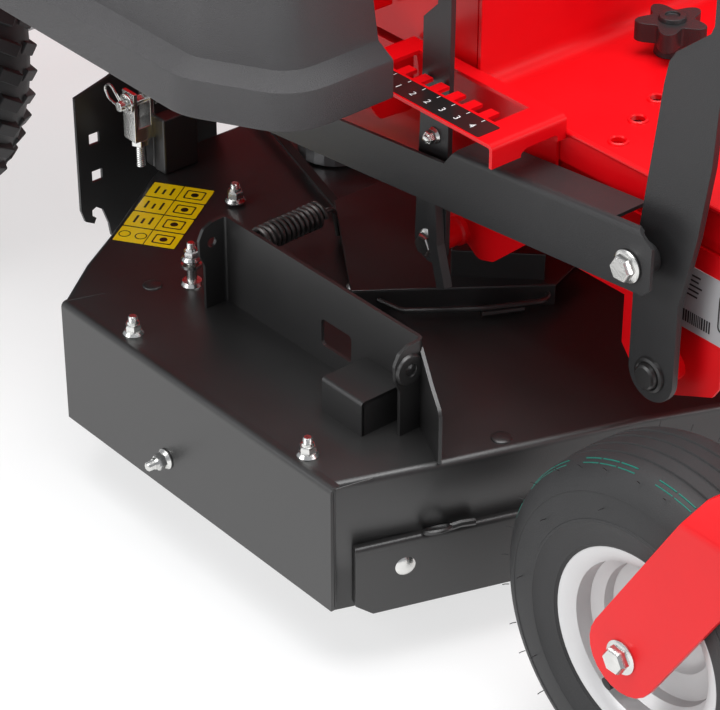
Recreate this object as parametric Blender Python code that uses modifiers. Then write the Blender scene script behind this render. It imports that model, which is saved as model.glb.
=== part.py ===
"""Zero turn mower: frame, cutting deck, casters, drive wheels, engine, seat and controls.

Metres, +Z up. The front is -Y and the operator's right hand is -X.
The origin is on the ground, below the middle of the machine.
"""
import math

import bmesh
import bpy
from mathutils import Matrix, Vector

# ---- driving dimensions ---------------------------------------------------------------------
LENGTH = 1.72                       # front lip of the floor pan to the back of the engine guard
FRONT = -LENGTH / 2
FY = FRONT + 0.17                   # front wheel axle; most places are measured back from it
WHEELBASE = 1.10
RY = FY + WHEELBASE                 # rear axle
GAP = 0.0003                        # clearance between pieces that touch
SHEET = 0.003                       # sheet steel
RIGHT, LEFT = -1, 1

CASTER_R, CASTER_HALF = 0.1397, 0.0475
CASTER_X, CASTER_TRAIL = 0.430, 0.105
REAR_R, REAR_HALF = 0.2286, 0.108
REAR_X = 0.452                      # middle of the rear tyre

RAIL_IN, RAIL_OUT = 0.245, 0.295
RAIL_LOW, RAIL_TOP = 0.264, 0.3715
PAN_Z = 0.375                       # walking surface
PAN_X = 0.2983
WALL_Y = FY + 0.359                 # riser below the seat

DECK_TOP, DECK_LOW = 0.172, 0.057
DECK_SIDE = 0.5387
SPINDLE_X, SPINDLE_Y = 0.262, FY + 0.43
BLADE_R = 0.256
BELT_Z = 0.1805
ENGINE_Y = FY + 1.27

ARM_X = 0.322                       # outer face of the lift pedal arm
PEDAL_Y, PEDAL_Z = FY + 0.142, 0.232
CHANNEL_X = 0.345                   # outer face of the lift channel
CHANNEL_PIN_Y, CHANNEL_PIN_Z = FY + 0.149, 0.331
CHANNEL_FALL = 0.10                 # the channel drops this much per metre towards the rear
SHAFT_Y, SHAFT_Z = FY + 0.60, 0.340
LEVER_X = 0.333                     # outer face of the height lever
LEVER_Y, LEVER_Z = FY + 0.375, 0.244
GATE_Z = 0.390

FENDER_X = 0.540
FENDER_IN = 0.300
FENDER_LEVER_GAP = 0.378            # inner edge where the height lever swings
SEAT_Z = 0.545
SEAT_HINGE_Y = FY + 0.462
SEAT_HINGE_Z = SEAT_Z - 0.0085
ARM_PIVOT = (0.315, FY + 0.690, 0.602)  # fore-aft pivot of a lap bar
SWING_Z = 0.655                     # swing-out pivot of a lap bar

# ---- scene set-up ---------------------------------------------------------------------------
for old in list(bpy.data.objects):
    bpy.data.objects.remove(old, do_unlink=True)

PARTS = bpy.data.collections.new("zero_turn_mower")
CUTTERS = bpy.data.collections.new("cutters")
bpy.context.scene.collection.children.link(PARTS)
bpy.context.scene.collection.children.link(CUTTERS)


def paint(name, colour, roughness, metallic=0.0):
    """A Principled material."""
    material = bpy.data.materials.new(name)
    material.use_nodes = True
    shader = material.node_tree.nodes["Principled BSDF"]
    shader.inputs["Base Color"].default_value = (*colour, 1)
    shader.inputs["Roughness"].default_value = roughness
    shader.inputs["Metallic"].default_value = metallic
    material.diffuse_color = (*colour, 1)
    return material


RED = (0.70, 0.01, 0.01)
BLACK = (0.015, 0.015, 0.016)
GREY = (0.05, 0.05, 0.055)
SILVER = (0.55, 0.55, 0.54)
RUBBER = (0.02, 0.02, 0.02)


# ---- shape helpers --------------------------------------------------------------------------
def add(name, bm, colour=None, roughness=0.4, metallic=0.0, origin=(0, 0, 0), smooth=False):
    """Turn a bmesh into an object whose origin is at the given point."""
    bmesh.ops.recalc_face_normals(bm, faces=bm.faces)
    mesh = bpy.data.meshes.new(name)
    bm.to_mesh(mesh)
    bm.free()
    return place(name, mesh, colour, roughness, metallic, origin, smooth)


def place(name, mesh, colour, roughness=0.4, metallic=0.0, origin=(0, 0, 0), smooth=False):
    """Link a mesh made in world coordinates; without a colour it is a cutter."""
    mesh.name = name
    obj = bpy.data.objects.new(name, mesh)
    mesh.transform(Matrix.Translation(-Vector(origin)))
    obj.location = origin
    if colour is None:
        CUTTERS.objects.link(obj)
        obj.hide_render = True
        obj.display_type = "WIRE"
        return obj
    PARTS.objects.link(obj)
    mesh.materials.append(paint(name, colour, roughness, metallic))
    if smooth:
        mesh.shade_smooth()
        mesh.set_sharp_from_angle(angle=math.radians(35))
    return obj


def boolean(target, tool, operation):
    modifier = target.modifiers.new(operation.lower(), "BOOLEAN")
    modifier.operation = operation
    modifier.object = tool
    return target


def union(target, *tools):
    for tool in tools:
        boolean(target, tool, "UNION")
    return target


def cut(target, *tools):
    for tool in tools:
        boolean(target, tool, "DIFFERENCE")
    return target


def block(low, high):
    """A box between two corners."""
    low, high = Vector(low), Vector(high)
    low, high = Vector(map(min, low, high)), Vector(map(max, low, high))
    bm = bmesh.new()
    matrix = Matrix.Translation((low + high) / 2) @ Matrix.Diagonal((*(high - low), 1))
    bmesh.ops.create_cube(bm, size=1, matrix=matrix)
    return bm


def rod(start, end, radius, segments=20, end_radius=None):
    """A cylinder or cone between two points."""
    start, end = Vector(start), Vector(end)
    turn = (end - start).to_track_quat("Z", "Y").to_matrix().to_4x4()
    bm = bmesh.new()
    bmesh.ops.create_cone(bm, cap_ends=True, segments=segments, radius1=radius,
                          radius2=radius if end_radius is None else end_radius,
                          depth=(end - start).length,
                          matrix=Matrix.Translation((start + end) / 2) @ turn)
    return bm


def tool_block(low, high):
    return add("tool", block(low, high))


def tool_rod(start, end, radius, segments=20):
    return add("tool", rod(start, end, radius, segments))


def arc(centre, radius, start, end, steps=6):
    """Points on an arc, angles in degrees."""
    angles = [math.radians(start + (end - start) * i / steps) for i in range(steps + 1)]
    return [(centre[0] + radius * math.cos(a), centre[1] + radius * math.sin(a)) for a in angles]


AXES = {                             # outline (u, v) and thickness w in world axes
    "x": Matrix(((0, 0, 1, 0), (1, 0, 0, 0), (0, 1, 0, 0), (0, 0, 0, 1))),
    "y": Matrix(((1, 0, 0, 0), (0, 0, -1, 0), (0, 1, 0, 0), (0, 0, 0, 1))),
    "z": Matrix.Identity(4),
}


def plate(name, loops, axis, low, high, colour=None, roughness=0.4, metallic=0.0, origin=(0, 0, 0)):
    """A flat outline, with any holes as further loops, thickened between two planes."""
    curve = bpy.data.curves.new(name, "CURVE")
    curve.dimensions = "2D"
    curve.fill_mode = "BOTH"
    curve.extrude = abs(high - low) / 2
    for points in loops:
        spline = curve.splines.new("POLY")
        spline.points.add(len(points) - 1)
        for point, (u, v) in zip(spline.points, points):
            point.co = (u, v, 0, 1)
        spline.use_cyclic_u = True
    outline = bpy.data.objects.new(name + "_outline", curve)
    CUTTERS.objects.link(outline)
    shift = (low + high) / 2 * (-1 if axis == "y" else 1)
    outline.matrix_world = AXES[axis] @ Matrix.Translation((0, 0, shift))
    bpy.context.view_layer.update()
    graph = bpy.context.evaluated_depsgraph_get()
    mesh = bpy.data.meshes.new_from_object(outline.evaluated_get(graph))
    mesh.transform(outline.matrix_world)
    bpy.data.objects.remove(outline)
    bm = bmesh.new()
    bm.from_mesh(mesh)
    bmesh.ops.remove_doubles(bm, verts=bm.verts, dist=0.00002)
    return add(name, bm, colour, roughness, metallic, origin)


def turned(name, profile, axis, centre, colour, roughness=0.5, metallic=0.0, steps=22):
    """A closed profile of (radius, along) points, turned about an axis through the centre."""
    bm = bmesh.new()
    ring = [bm.verts.new((r, 0, a)) for r, a in profile]
    solid = profile[0][0] == 0 and profile[-1][0] == 0
    for one, two in zip(ring, ring[1:] if solid else ring[1:] + ring[:1]):
        bm.edges.new((one, two))
    mesh = bpy.data.meshes.new(name)
    bm.to_mesh(mesh)
    bm.free()
    obj = place(name, mesh, colour, roughness, metallic)
    obj.location = centre
    if axis == "x":
        obj.rotation_euler = (0, math.pi / 2, 0)
    screw = obj.modifiers.new("turn", "SCREW")
    screw.steps = screw.render_steps = steps
    screw.use_merge_vertices = True
    screw.merge_threshold = 0.0001
    return obj


def tube(name, points, radius, colour, roughness=0.4, metallic=0.0, sides=3, origin=(0, 0, 0)):
    """A bent tube through its points, as a mesh with welded caps."""
    curve = bpy.data.curves.new(name, "CURVE")
    curve.dimensions = "3D"
    curve.bevel_depth = radius
    curve.bevel_resolution = sides
    curve.use_fill_caps = True
    spline = curve.splines.new("POLY")
    spline.points.add(len(points) - 1)
    for point, co in zip(spline.points, points):
        point.co = (*co, 1)
    wire = bpy.data.objects.new(name + "_wire", curve)
    CUTTERS.objects.link(wire)
    bpy.context.view_layer.update()
    graph = bpy.context.evaluated_depsgraph_get()
    mesh = bpy.data.meshes.new_from_object(wire.evaluated_get(graph))
    bpy.data.objects.remove(wire)
    bm = bmesh.new()
    bm.from_mesh(mesh)
    bmesh.ops.remove_doubles(bm, verts=bm.verts, dist=0.00002)
    return add(name, bm, colour, roughness, metallic, origin, smooth=True)


def bend(points, radius, steps=5):
    """A 3D route whose inner corners are rounded."""
    points = [Vector(p) for p in points]
    route = [points[0]]
    for before, corner, after in zip(points, points[1:], points[2:]):
        one, two = (before - corner).normalized(), (after - corner).normalized()
        half = one.angle(two) / 2
        reach = min(radius / math.tan(half), (before - corner).length * 0.45,
                    (after - corner).length * 0.45)
        start, end = corner + one * reach, corner + two * reach
        for i in range(steps + 1):
            t = i / steps
            route.append(start * (1 - t) ** 2 + corner * 2 * t * (1 - t) + end * t * t)
    return route + [points[-1]]


def outward_shell(name, bm, thickness, colour=BLACK, roughness=0.35):
    """An open surface, whose largest face looks up, thickened on its inner side."""
    bmesh.ops.recalc_face_normals(bm, faces=bm.faces)
    if max(bm.faces, key=lambda face: face.calc_area()).normal.z < 0:
        bmesh.ops.reverse_faces(bm, faces=bm.faces)
    mesh = bpy.data.meshes.new(name)
    bm.to_mesh(mesh)
    bm.free()
    obj = place(name, mesh, colour, roughness)
    solid = obj.modifiers.new("thickness", "SOLIDIFY")
    solid.thickness = thickness
    solid.offset = -1
    solid.use_even_offset = True
    return obj


def rounded_box(name, low, high, radius, colour, roughness=0.5, segments=3, origin=(0, 0, 0)):
    obj = add(name, block(low, high), colour, roughness, origin=origin, smooth=True)
    bevel = obj.modifiers.new("round", "BEVEL")
    bevel.width = radius
    bevel.segments = segments
    return obj


# ---- frame ----------------------------------------------------------------------------------
def chassis_frame():
    right_rail = block((-RAIL_OUT, FY + 0.03, RAIL_LOW), (-RAIL_IN, FY + 1.50, RAIL_TOP))
    frame = add("chassis_frame", right_rail, RED, 0.3)
    tools = [tool_block((RAIL_IN, FY + 0.03, RAIL_LOW), (RAIL_OUT, FY + 1.50, RAIL_TOP))]
    for side in (RIGHT, LEFT):
        tools.append(tool_block((side * RAIL_IN, FY - 0.135, 0.3301), (side * RAIL_OUT, FY + 0.05, RAIL_TOP)))
    tools.append(tool_block((-CASTER_X, FY - CASTER_TRAIL - 0.03, 0.3303),
                            (CASTER_X, FY - CASTER_TRAIL + 0.03, RAIL_TOP - 0.0002)))
    for y in (FY + 0.42, FY + 0.98):
        tools.append(tool_block((-0.26, y, 0.31), (0.26, y + 0.05, RAIL_TOP - 0.0004)))
        for side in (RIGHT, LEFT):
            tools.append(tool_block((side * 0.205, y + 0.001, 0.32), (side * 0.243, y + 0.049, 0.5045)))
    tools.append(tool_block((-0.25, FY + 1.10, 0.362), (0.25, FY + 1.49, RAIL_TOP - 0.0006)))
    union(frame, *tools)
    for side in (RIGHT, LEFT):
        x, y = side * CASTER_X, FY - CASTER_TRAIL
        union(frame, tool_rod((x, y, 0.329), (x, y, 0.410), 0.031, 24))
        cut(frame, tool_rod((x, y, 0.32), (x, y, 0.42), 0.0135, 16))
    cut(frame, tool_rod((-0.35, SHAFT_Y, SHAFT_Z), (0.35, SHAFT_Y, SHAFT_Z), 0.0125, 16))
    cut(frame, tool_rod((0, ENGINE_Y, 0.30), (0, ENGINE_Y, 0.42), 0.030, 20))
    return frame


def floor_pan():
    front = FRONT
    pan = add("floor_pan", block((-PAN_X, front, PAN_Z - SHEET), (PAN_X, WALL_Y + SHEET, PAN_Z)), RED, 0.25)
    tools = [tool_block((-PAN_X, front, PAN_Z - SHEET - 0.0001), (PAN_X, front + SHEET, PAN_Z + 0.016)),
             tool_block((-PAN_X, WALL_Y, PAN_Z - SHEET + 0.0001), (PAN_X, WALL_Y + SHEET, 0.500))]
    for side in (RIGHT, LEFT):
        tools.append(tool_block((side * PAN_X, FY - 0.070, 0.350),
                                (side * (PAN_X - 0.0029), WALL_Y + 0.001, PAN_Z - 0.001)))
    return union(pan, *tools)


def height_gate():
    """Notched plate, its side plate on the frame, and the pivot boss of the lever."""
    outer, inner, front, rear = -0.373, -0.2990, FY + 0.263, FY + 0.435
    pitch, tooth = 0.0185, 0.0095
    slot_front, slot_rear = FY + 0.290, FY + 0.414
    teeth = []
    for i in range(6):
        y = slot_front + 0.008 + i * pitch
        teeth += [(-0.347, y), (-0.3345, y), (-0.3345, y + tooth), (-0.347, y + tooth)]
    slot = [(-0.312, slot_front), (-0.347, slot_front)] + teeth + [(-0.347, slot_rear), (-0.312, slot_rear)]
    outline = [(inner, front), (outer, front), (outer, FY + 0.405), (-0.353, rear), (inner, rear)]
    gate = plate("height_gate", [outline, slot], "z", GATE_Z - SHEET, GATE_Z, RED, 0.3)
    side = [(FY + 0.270, GATE_Z - 0.001), (FY + 0.270, 0.290), (FY + 0.335, 0.232), (FY + 0.352, 0.227),
            (FY + 0.366, 0.236), (FY + 0.388, 0.243), (FY + 0.412, 0.280), (FY + 0.430, GATE_Z - 0.001)]
    tools = [plate("tool", [side], "x", -0.3018, -0.2988),
             tool_block((outer, front, GATE_Z - 0.018), (inner - 0.004, front + SHEET, GATE_Z - 0.001)),
             plate("tool", [[(-0.372, GATE_Z - 0.001), (-0.336, 0.352), (-0.302, 0.330),
                             (-0.302, GATE_Z - 0.001)]], "y", FY + 0.4315, FY + 0.4345),
             tool_rod((-0.300, LEVER_Y, LEVER_Z), (-LEVER_X + 0.005 + GAP, LEVER_Y, LEVER_Z), 0.011, 16)]
    return union(gate, *tools)


def lift_pivot_bracket():
    """Plate below the right rail that carries the lift pedal arm."""
    outline = [(FY + 0.101, 0.222), (FY + 0.144, 0.203), (FY + 0.180, 0.206), (FY + 0.195, 0.225),
               (FY + 0.195, 0.340), (FY + 0.095, 0.340), (FY + 0.095, 0.232)]
    inner = -RAIL_OUT - GAP
    bracket = plate("lift_pivot_bracket", [outline], "x", inner - SHEET, inner, RED, 0.3)
    boss = tool_rod((-RAIL_OUT - 0.001, PEDAL_Y, PEDAL_Z), (-ARM_X + 0.006 + GAP, PEDAL_Y, PEDAL_Z),
                    0.013, 20)
    return union(bracket, boss)


def rear_guard_plate():
    """Transverse plate below the rail, with two square holes and a hooked foot."""
    def square(x, z, half=0.0055):
        return [(x - half, z - half), (x + half, z - half), (x + half, z + half), (x - half, z + half)]
    outline = [(-0.402, 0.240), (-0.402, 0.128), (-0.398, 0.116), (-0.389, 0.111), (-0.3865, 0.116),
               (-0.3905, 0.119), (-0.3905, 0.125), (-0.386, 0.127), (-0.379, 0.122), (-0.373, 0.105),
               (-0.371, 0.092), (-0.250, 0.092), (-0.250, RAIL_LOW - GAP), (-0.33, RAIL_LOW - GAP),
               (-0.366, 0.2494)]
    return plate("rear_guard_plate", [outline, square(-0.384, 0.195), square(-0.383, 0.158)],
                 "y", FY + 0.760, FY + 0.763, BLACK, 0.4)


def engine_guard():
    """Bent tube hoop behind the engine, on two feet at the ends of the rails."""
    rear = LENGTH / 2 - 0.0145
    route = [(-0.27, FY + 1.5003 + 0.0145, 0.30), (-0.27, rear - 0.004, 0.50), (-0.23, rear, 0.62),
             (0.23, rear, 0.62), (0.27, rear - 0.004, 0.50), (0.27, FY + 1.5003 + 0.0145, 0.30)]
    return tube("engine_guard", bend(route, 0.06, 4), 0.0140, BLACK, 0.4, sides=3)


# ---- bodywork -------------------------------------------------------------------------------
def fender(side, name):
    """Moulded shell: a flared ledge outside, a high crown, and an arch over the drive wheel."""
    front, rear = FY + 0.335, FY + 1.340
    stations = [(front, 0.085, 0.0), (front + 0.012, 0.040, 0.0), (front + 0.045, 0.010, 0.0),
                (FY + 0.46, 0.0, 0.0), (FY + 0.555, 0.0, 0.0), (FY + 0.570, 0.0, 0.0), (FY + 0.66, 0.0, 0.0),
                (FY + 0.78, 0.0, 0.010), (FY + 0.87, 0.0, 0.055), (FY + 0.95, 0.0, 0.080),
                (RY, 0.0, 0.086), (FY + 1.24, 0.0, 0.072), (rear - 0.03, 0.010, 0.030), (rear, 0.040, 0.025)]
    bm = bmesh.new()
    rows = []
    for y, tuck, lift in stations:
        out = FENDER_X - tuck
        inner = FENDER_LEVER_GAP if y < FY + 0.56 else FENDER_IN
        low, ledge = 0.413 + lift, 0.447 + lift
        crown = max(0.560, ledge + 0.02)
        section = [(out, low), (out, ledge), (out - 0.022, ledge + 0.012), (out - 0.045, crown - 0.018),
                   (out - 0.070, crown), (inner, crown + 0.004)]
        rows.append([bm.verts.new((side * x, y, z)) for x, z in section])
    for one, two in zip(rows, rows[1:]):
        for a, b, c, d in zip(one, one[1:], two[1:], two):
            bm.faces.new((a, b, c, d))
    low_front = bm.verts.new((side * FENDER_LEVER_GAP, front, 0.413))
    first = rows[0]
    bm.faces.new([low_front] + first)
    centre = Vector((side * 0.40, FY + 0.8, 0.3))
    for face in bm.faces:
        face.normal_update()
        if face.normal.dot(face.calc_center_median() - centre) < 0:
            face.normal_flip()
    mesh = bpy.data.meshes.new(name)
    bm.to_mesh(mesh)
    bm.free()
    obj = place(name, mesh, GREY, 0.6)
    solid = obj.modifiers.new("thickness", "SOLIDIFY")
    solid.thickness = 0.004
    solid.offset = -1
    return obj


def seat_base():
    """Box between the fenders, on the four posts of the frame."""
    base = add("seat_base", block((-0.296, FY + 0.366, 0.5050), (0.296, FY + 1.05, 0.5250)), RED, 0.3)
    for side in (RIGHT, LEFT):
        union(base, tool_block((side * 0.296, FY + 0.366, 0.380), (side * 0.290, FY + 1.05, 0.5240)))
    return base


# ---- wheels ---------------------------------------------------------------------------------
def tyre_profile(radius, half, bead, shoulder):
    """Half-closed tyre section with a hollow inside, as (radius, along) points."""
    wall = 0.010
    outer = [(bead, half * 0.72), (bead + (radius - bead) * 0.35, half * 0.97),
             (bead + (radius - bead) * 0.62, half), (radius - shoulder, half * 0.93),
             (radius - shoulder * 0.28, half * 0.70), (radius, half * 0.30)]
    outer += [(r, -a) for r, a in reversed(outer)]
    inner = [(bead, half * 0.72 - wall), (radius - wall * 1.6, half * 0.78 - wall)]
    inner += [(r, -a) for r, a in reversed(inner)]
    return outer + inner[::-1]


def rim_profile(bead, half, hub, bore, dish):
    """Drop-centre rim with its disc and hub."""
    skin = 0.003
    flange = half * 0.90
    return [(bead + 0.010, flange), (bead + 0.010, flange - skin), (bead - GAP, flange - skin - 0.001),
            (bead - GAP, skin - flange + 0.001), (bead + 0.010, skin - flange), (bead + 0.010, -flange),
            (bead - 0.006, -flange), (bead - 0.012, dish - 0.008), (hub, dish - 0.008), (hub, -half * 0.80),
            (bore, -half * 0.80), (bore, half * 0.80), (hub, half * 0.80), (hub, dish), (bead - 0.012, dish),
            (bead - 0.006, flange)]


def wheels(side, suffix):
    centre = (side * CASTER_X, FY, CASTER_R)
    turned("caster_tyre_" + suffix, tyre_profile(CASTER_R, CASTER_HALF, 0.067, 0.018), "x", centre,
           RUBBER, 0.8)
    turned("caster_rim_" + suffix, rim_profile(0.067 - GAP, CASTER_HALF, 0.022, 0.0095, 0.006), "x",
           centre, SILVER, 0.4, 0.3)
    centre = (side * REAR_X, RY, REAR_R)
    turned("rear_tyre_" + suffix, tyre_profile(REAR_R, REAR_HALF, 0.100, 0.030), "x", centre,
           RUBBER, 0.8, steps=28)
    turned("rear_rim_" + suffix, rim_profile(0.100 - GAP, REAR_HALF, 0.035, 0.0128, 0.012), "x", centre,
           SILVER, 0.4, 0.3, steps=28)


def caster_fork(side, suffix):
    """Two leaning arms, a top plate, the swivel stem and the fixed axle."""
    cx, top, thick = side * CASTER_X, 0.3255, 0.006
    inner, pivot = 0.0495, FY - CASTER_TRAIL
    lean = math.atan2(CASTER_TRAIL, 0.170)
    up = Vector((-math.sin(lean), math.cos(lean)))
    across = Vector((up[1], -up[0]))
    half = 0.0318

    def edge(along, sideways):
        spot = Vector((FY, CASTER_R)) + up * along + across * sideways
        return (spot[0], spot[1])

    bottom = [edge(-half * math.cos(t), half * math.sin(t))
              for t in [math.radians(-90 + 20 * i) for i in range(10)]]
    outline = bottom + [edge(0.196, half), edge(0.196, -half)]
    fork = add("caster_fork_" + suffix, block((cx - inner - thick, pivot - 0.030, top - 0.008),
                                              (cx + inner + thick, pivot + 0.030, top)), RED, 0.3,
               origin=(cx, pivot, top))
    ceiling = tool_block((cx - 0.08, pivot - 0.10, top - 0.0001), (cx + 0.08, pivot + 0.10, top + 0.05))
    for hand in (-1, 1):
        union(fork, plate("tool", [outline], "x", cx + hand * inner, cx + hand * (inner + thick)))
    cut(fork, ceiling)
    union(fork, tool_rod((cx, pivot, top - 0.004), (cx, pivot, 0.418), 0.0130 - GAP, 16),
          tool_rod((cx, pivot, 0.4105), (cx, pivot, 0.420), 0.020, 20),
          tool_rod((cx - inner - 0.013, FY, CASTER_R), (cx + inner + 0.013, FY, CASTER_R), 0.0090, 16))
    for hand in (-1, 1):
        face = cx + hand * (inner + thick)
        union(fork, tool_rod((face - hand * 0.001, FY, CASTER_R), (face + hand * 0.009, FY, CASTER_R),
                             0.0125, 6))
    return fork


# ---- drive ----------------------------------------------------------------------------------
def transaxle(side, suffix):
    """Hydrostatic unit below the rail, with its input fan housing and the axle."""
    unit = rounded_box("transaxle_" + suffix, (side * 0.150, RY - 0.085, 0.165),
                       (side * 0.285, RY + 0.075, 0.2635), 0.010, (0.25, 0.25, 0.26), 0.5, 1)
    end = side * (REAR_X + REAR_HALF * 0.80 + 0.006)
    union(unit, tool_rod((side * 0.27, RY, REAR_R), (side * 0.322, RY, REAR_R), 0.030, 20),
          tool_rod((side * 0.30, RY, REAR_R), (end, RY, REAR_R), 0.0125, 16),
          tool_rod((side * 0.19, RY, 0.26), (side * 0.19, RY, 0.300), 0.050, 20))
    return unit


def engine():
    block_top = 0.520
    crank = add("engine_block", block((-0.125, ENGINE_Y - 0.14, RAIL_TOP + GAP),
                                      (0.125, ENGINE_Y + 0.13, block_top)), (0.30, 0.30, 0.31), 0.5, 0.4)
    union(crank, tool_block((0.06, ENGINE_Y - 0.05, 0.42), (0.225, ENGINE_Y + 0.09, 0.515)))
    cut(crank, tool_rod((0, ENGINE_Y, 0.36), (0, ENGINE_Y, 0.41), 0.032, 20))
    turned("blower_housing", [(0, 0.641), (0.06, 0.641), (0.115, 0.636), (0.150, 0.622), (0.162, 0.600),
                              (0.165, 0.5204), (0, 0.5204)], "z", (0, ENGINE_Y, 0), BLACK, 0.35, steps=32)
    rounded_box("air_cleaner_cover", (-0.225, ENGINE_Y - 0.10, 0.402),
                (-0.1255, ENGINE_Y + 0.08, 0.505), 0.016, BLACK, 0.4, 2)
    muffler = add("muffler", rod((-0.09, ENGINE_Y + 0.190, 0.455), (0.11, ENGINE_Y + 0.190, 0.455),
                                 0.046, 24), (0.12, 0.11, 0.10), 0.6, 0.6)
    union(muffler, tool_rod((0.02, ENGINE_Y + 0.1304, 0.455), (0.02, ENGINE_Y + 0.17, 0.455), 0.016, 14))


def pulley_profile(radius, width, shaft, low, high):
    """Vee pulley centred on the belt, in one piece with its shaft."""
    z = BELT_Z
    groove = radius - 0.012
    half = width / 2
    return [(0, high), (shaft, high), (shaft, z + half), (radius, z + half), (groove, z + half * 0.25),
            (groove, z - half * 0.25), (radius, z - half), (shaft, z - half), (shaft, low), (0, low)]


def pulleys():
    turned("engine_pulley", pulley_profile(0.060, 0.014, 0.024, 0.165, 0.400), "z", (0, ENGINE_Y, 0),
           (0.2, 0.2, 0.2), 0.4, 0.7, 24)
    for side, suffix in ((RIGHT, "right"), (LEFT, "left")):
        turned("spindle_pulley_" + suffix, pulley_profile(0.068, 0.014, 0.0125, 0.066, 0.1885), "z",
               (side * SPINDLE_X, SPINDLE_Y, 0), (0.2, 0.2, 0.2), 0.4, 0.7, 24)


def idler():
    """Flat idler on a bent arm that pivots on the deck."""
    px, py = -0.209, FY + 0.640
    turned("idler_pulley", [(0.0085, BELT_Z + 0.0065), (0.034, BELT_Z + 0.0065), (0.034, BELT_Z - 0.0065),
                            (0.0085, BELT_Z - 0.0065)], "z", (px, py, 0), (0.2, 0.2, 0.2), 0.4, 0.7, 22)
    pivot = (-0.110, FY + 0.565)
    arm = add("idler_arm", rod((*pivot, DECK_TOP + GAP), (*pivot, 0.1963), 0.0135, 16), BLACK, 0.4,
              origin=(*pivot, 0.19))
    bar = [(pivot[0] - 0.012, pivot[1] - 0.016), (pivot[0] + 0.016, pivot[1] + 0.010),
           (px + 0.012, py + 0.016), (px - 0.014, py - 0.010)]
    union(arm, plate("tool", [bar], "z", 0.1915, 0.1955),
          tool_rod((px, py, BELT_Z - 0.0065), (px, py, 0.194), 0.0082, 14))


def deck_belt():
    """Vee belt round both spindle pulleys, the idler and the engine pulley, as a flat loop."""
    reach = 0.0683
    outer = []
    outer += arc((-SPINDLE_X, SPINDLE_Y), reach, 130, 270, 8)
    outer += arc((SPINDLE_X, SPINDLE_Y), reach, -90, 50, 8)
    outer += arc((0, ENGINE_Y), 0.0603, 20, 160, 8)
    inner = []
    reach = 0.0590
    inner += arc((-SPINDLE_X, SPINDLE_Y), reach, 130, 270, 8)
    inner += arc((SPINDLE_X, SPINDLE_Y), reach, -90, 50, 8)
    inner += arc((0, ENGINE_Y), 0.0510, 20, 160, 8)
    return plate("deck_belt", [outer, inner], "z", BELT_Z - 0.0012, BELT_Z + 0.0012, RUBBER, 0.9)


# ---- cutting deck ---------------------------------------------------------------------------
def deck_outline(inset=0.0):
    """Right half of the deck seen from above, from the rear centre to the front centre."""
    side = DECK_SIDE - inset
    return [(0.0, FY + 0.735), (-0.310, FY + 0.735), (-0.360, FY + 0.710), (-0.446, FY + 0.652),
            (-0.490, FY + 0.625), (-side, FY + 0.588), (-side, FY + 0.2495), (-0.460, FY + 0.219),
            (-0.299, FY + 0.163), (-0.235, FY + 0.135), (-0.160, FY + 0.122), (0.0, FY + 0.118)]


def deck_shell():
    """Pressed shell, open below, with holes for the spindles."""
    right = deck_outline()
    left = [(-x, y) for x, y in reversed(right)][1:-1]
    points = right + left
    bm = bmesh.new()
    top = [bm.verts.new((x, y, DECK_TOP)) for x, y in points]
    low = [bm.verts.new((x, y, DECK_LOW)) for x, y in points]
    bm.faces.new(top)
    for i in range(len(points)):
        j = (i + 1) % len(points)
        bm.faces.new((top[i], top[j], low[j], low[i]))
    deck = outward_shell("deck_shell", bm, SHEET)
    for side in (RIGHT, LEFT):
        x = side * SPINDLE_X
        union(deck, tool_rod((x, SPINDLE_Y, 0.115), (x, SPINDLE_Y, DECK_TOP - 0.0005), 0.038, 20))
        cut(deck, tool_rod((x, SPINDLE_Y, 0.10), (x, SPINDLE_Y, 0.20), 0.0140, 16))
    return deck


def discharge_cover():
    """Bolted side panel that closes the discharge opening."""
    return add("discharge_cover", block((-DECK_SIDE - GAP - SHEET, FY + 0.249, 0.060),
                                        (-DECK_SIDE - GAP, FY + 0.5875, DECK_TOP)), BLACK, 0.35)


def chute_bracket():
    """Folded plate with an ear at each end, on top of the deck."""
    x, front, rear = -0.437, FY + 0.268, FY + 0.506
    low, high = DECK_TOP + GAP, 0.251
    window = [(FY + 0.348, 0.189), (FY + 0.383, 0.189), (FY + 0.383, 0.212), (FY + 0.348, 0.212)]
    bracket = plate("chute_bracket", [[(front, low), (rear, low), (rear, high), (front, high)], window],
                    "x", x, x + SHEET, BLACK, 0.35)
    ear = [(x + 0.001, low + 0.022), (-0.458, low + 0.030), *arc((-0.4505, 0.232), 0.014, 200, 90, 5),
           (x + 0.001, high - 0.001)]
    for y in (front, rear - SHEET):
        hole = arc((-0.4500, 0.231), 0.0045, 0, 324, 9)
        union(bracket, plate("tool", [ear, hole], "y", y, y + SHEET))
    return bracket


def front_baffle():
    """Lower plate lapped over the right front skirt."""
    start, end = Vector((-0.5300, FY + 0.2441)), Vector((-0.3050, FY + 0.1650))
    along = (end - start).normalized()
    out = Vector((along[1], -along[0]))
    if out[1] > 0:
        out = -out
    near, far = 0.0006, 0.0036
    corners = [start + out * near, end + out * near, end + out * far, start + out * far]
    return plate("front_baffle", [[tuple(c) for c in corners]], "z", 0.0505, 0.104, BLACK, 0.35)


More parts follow.
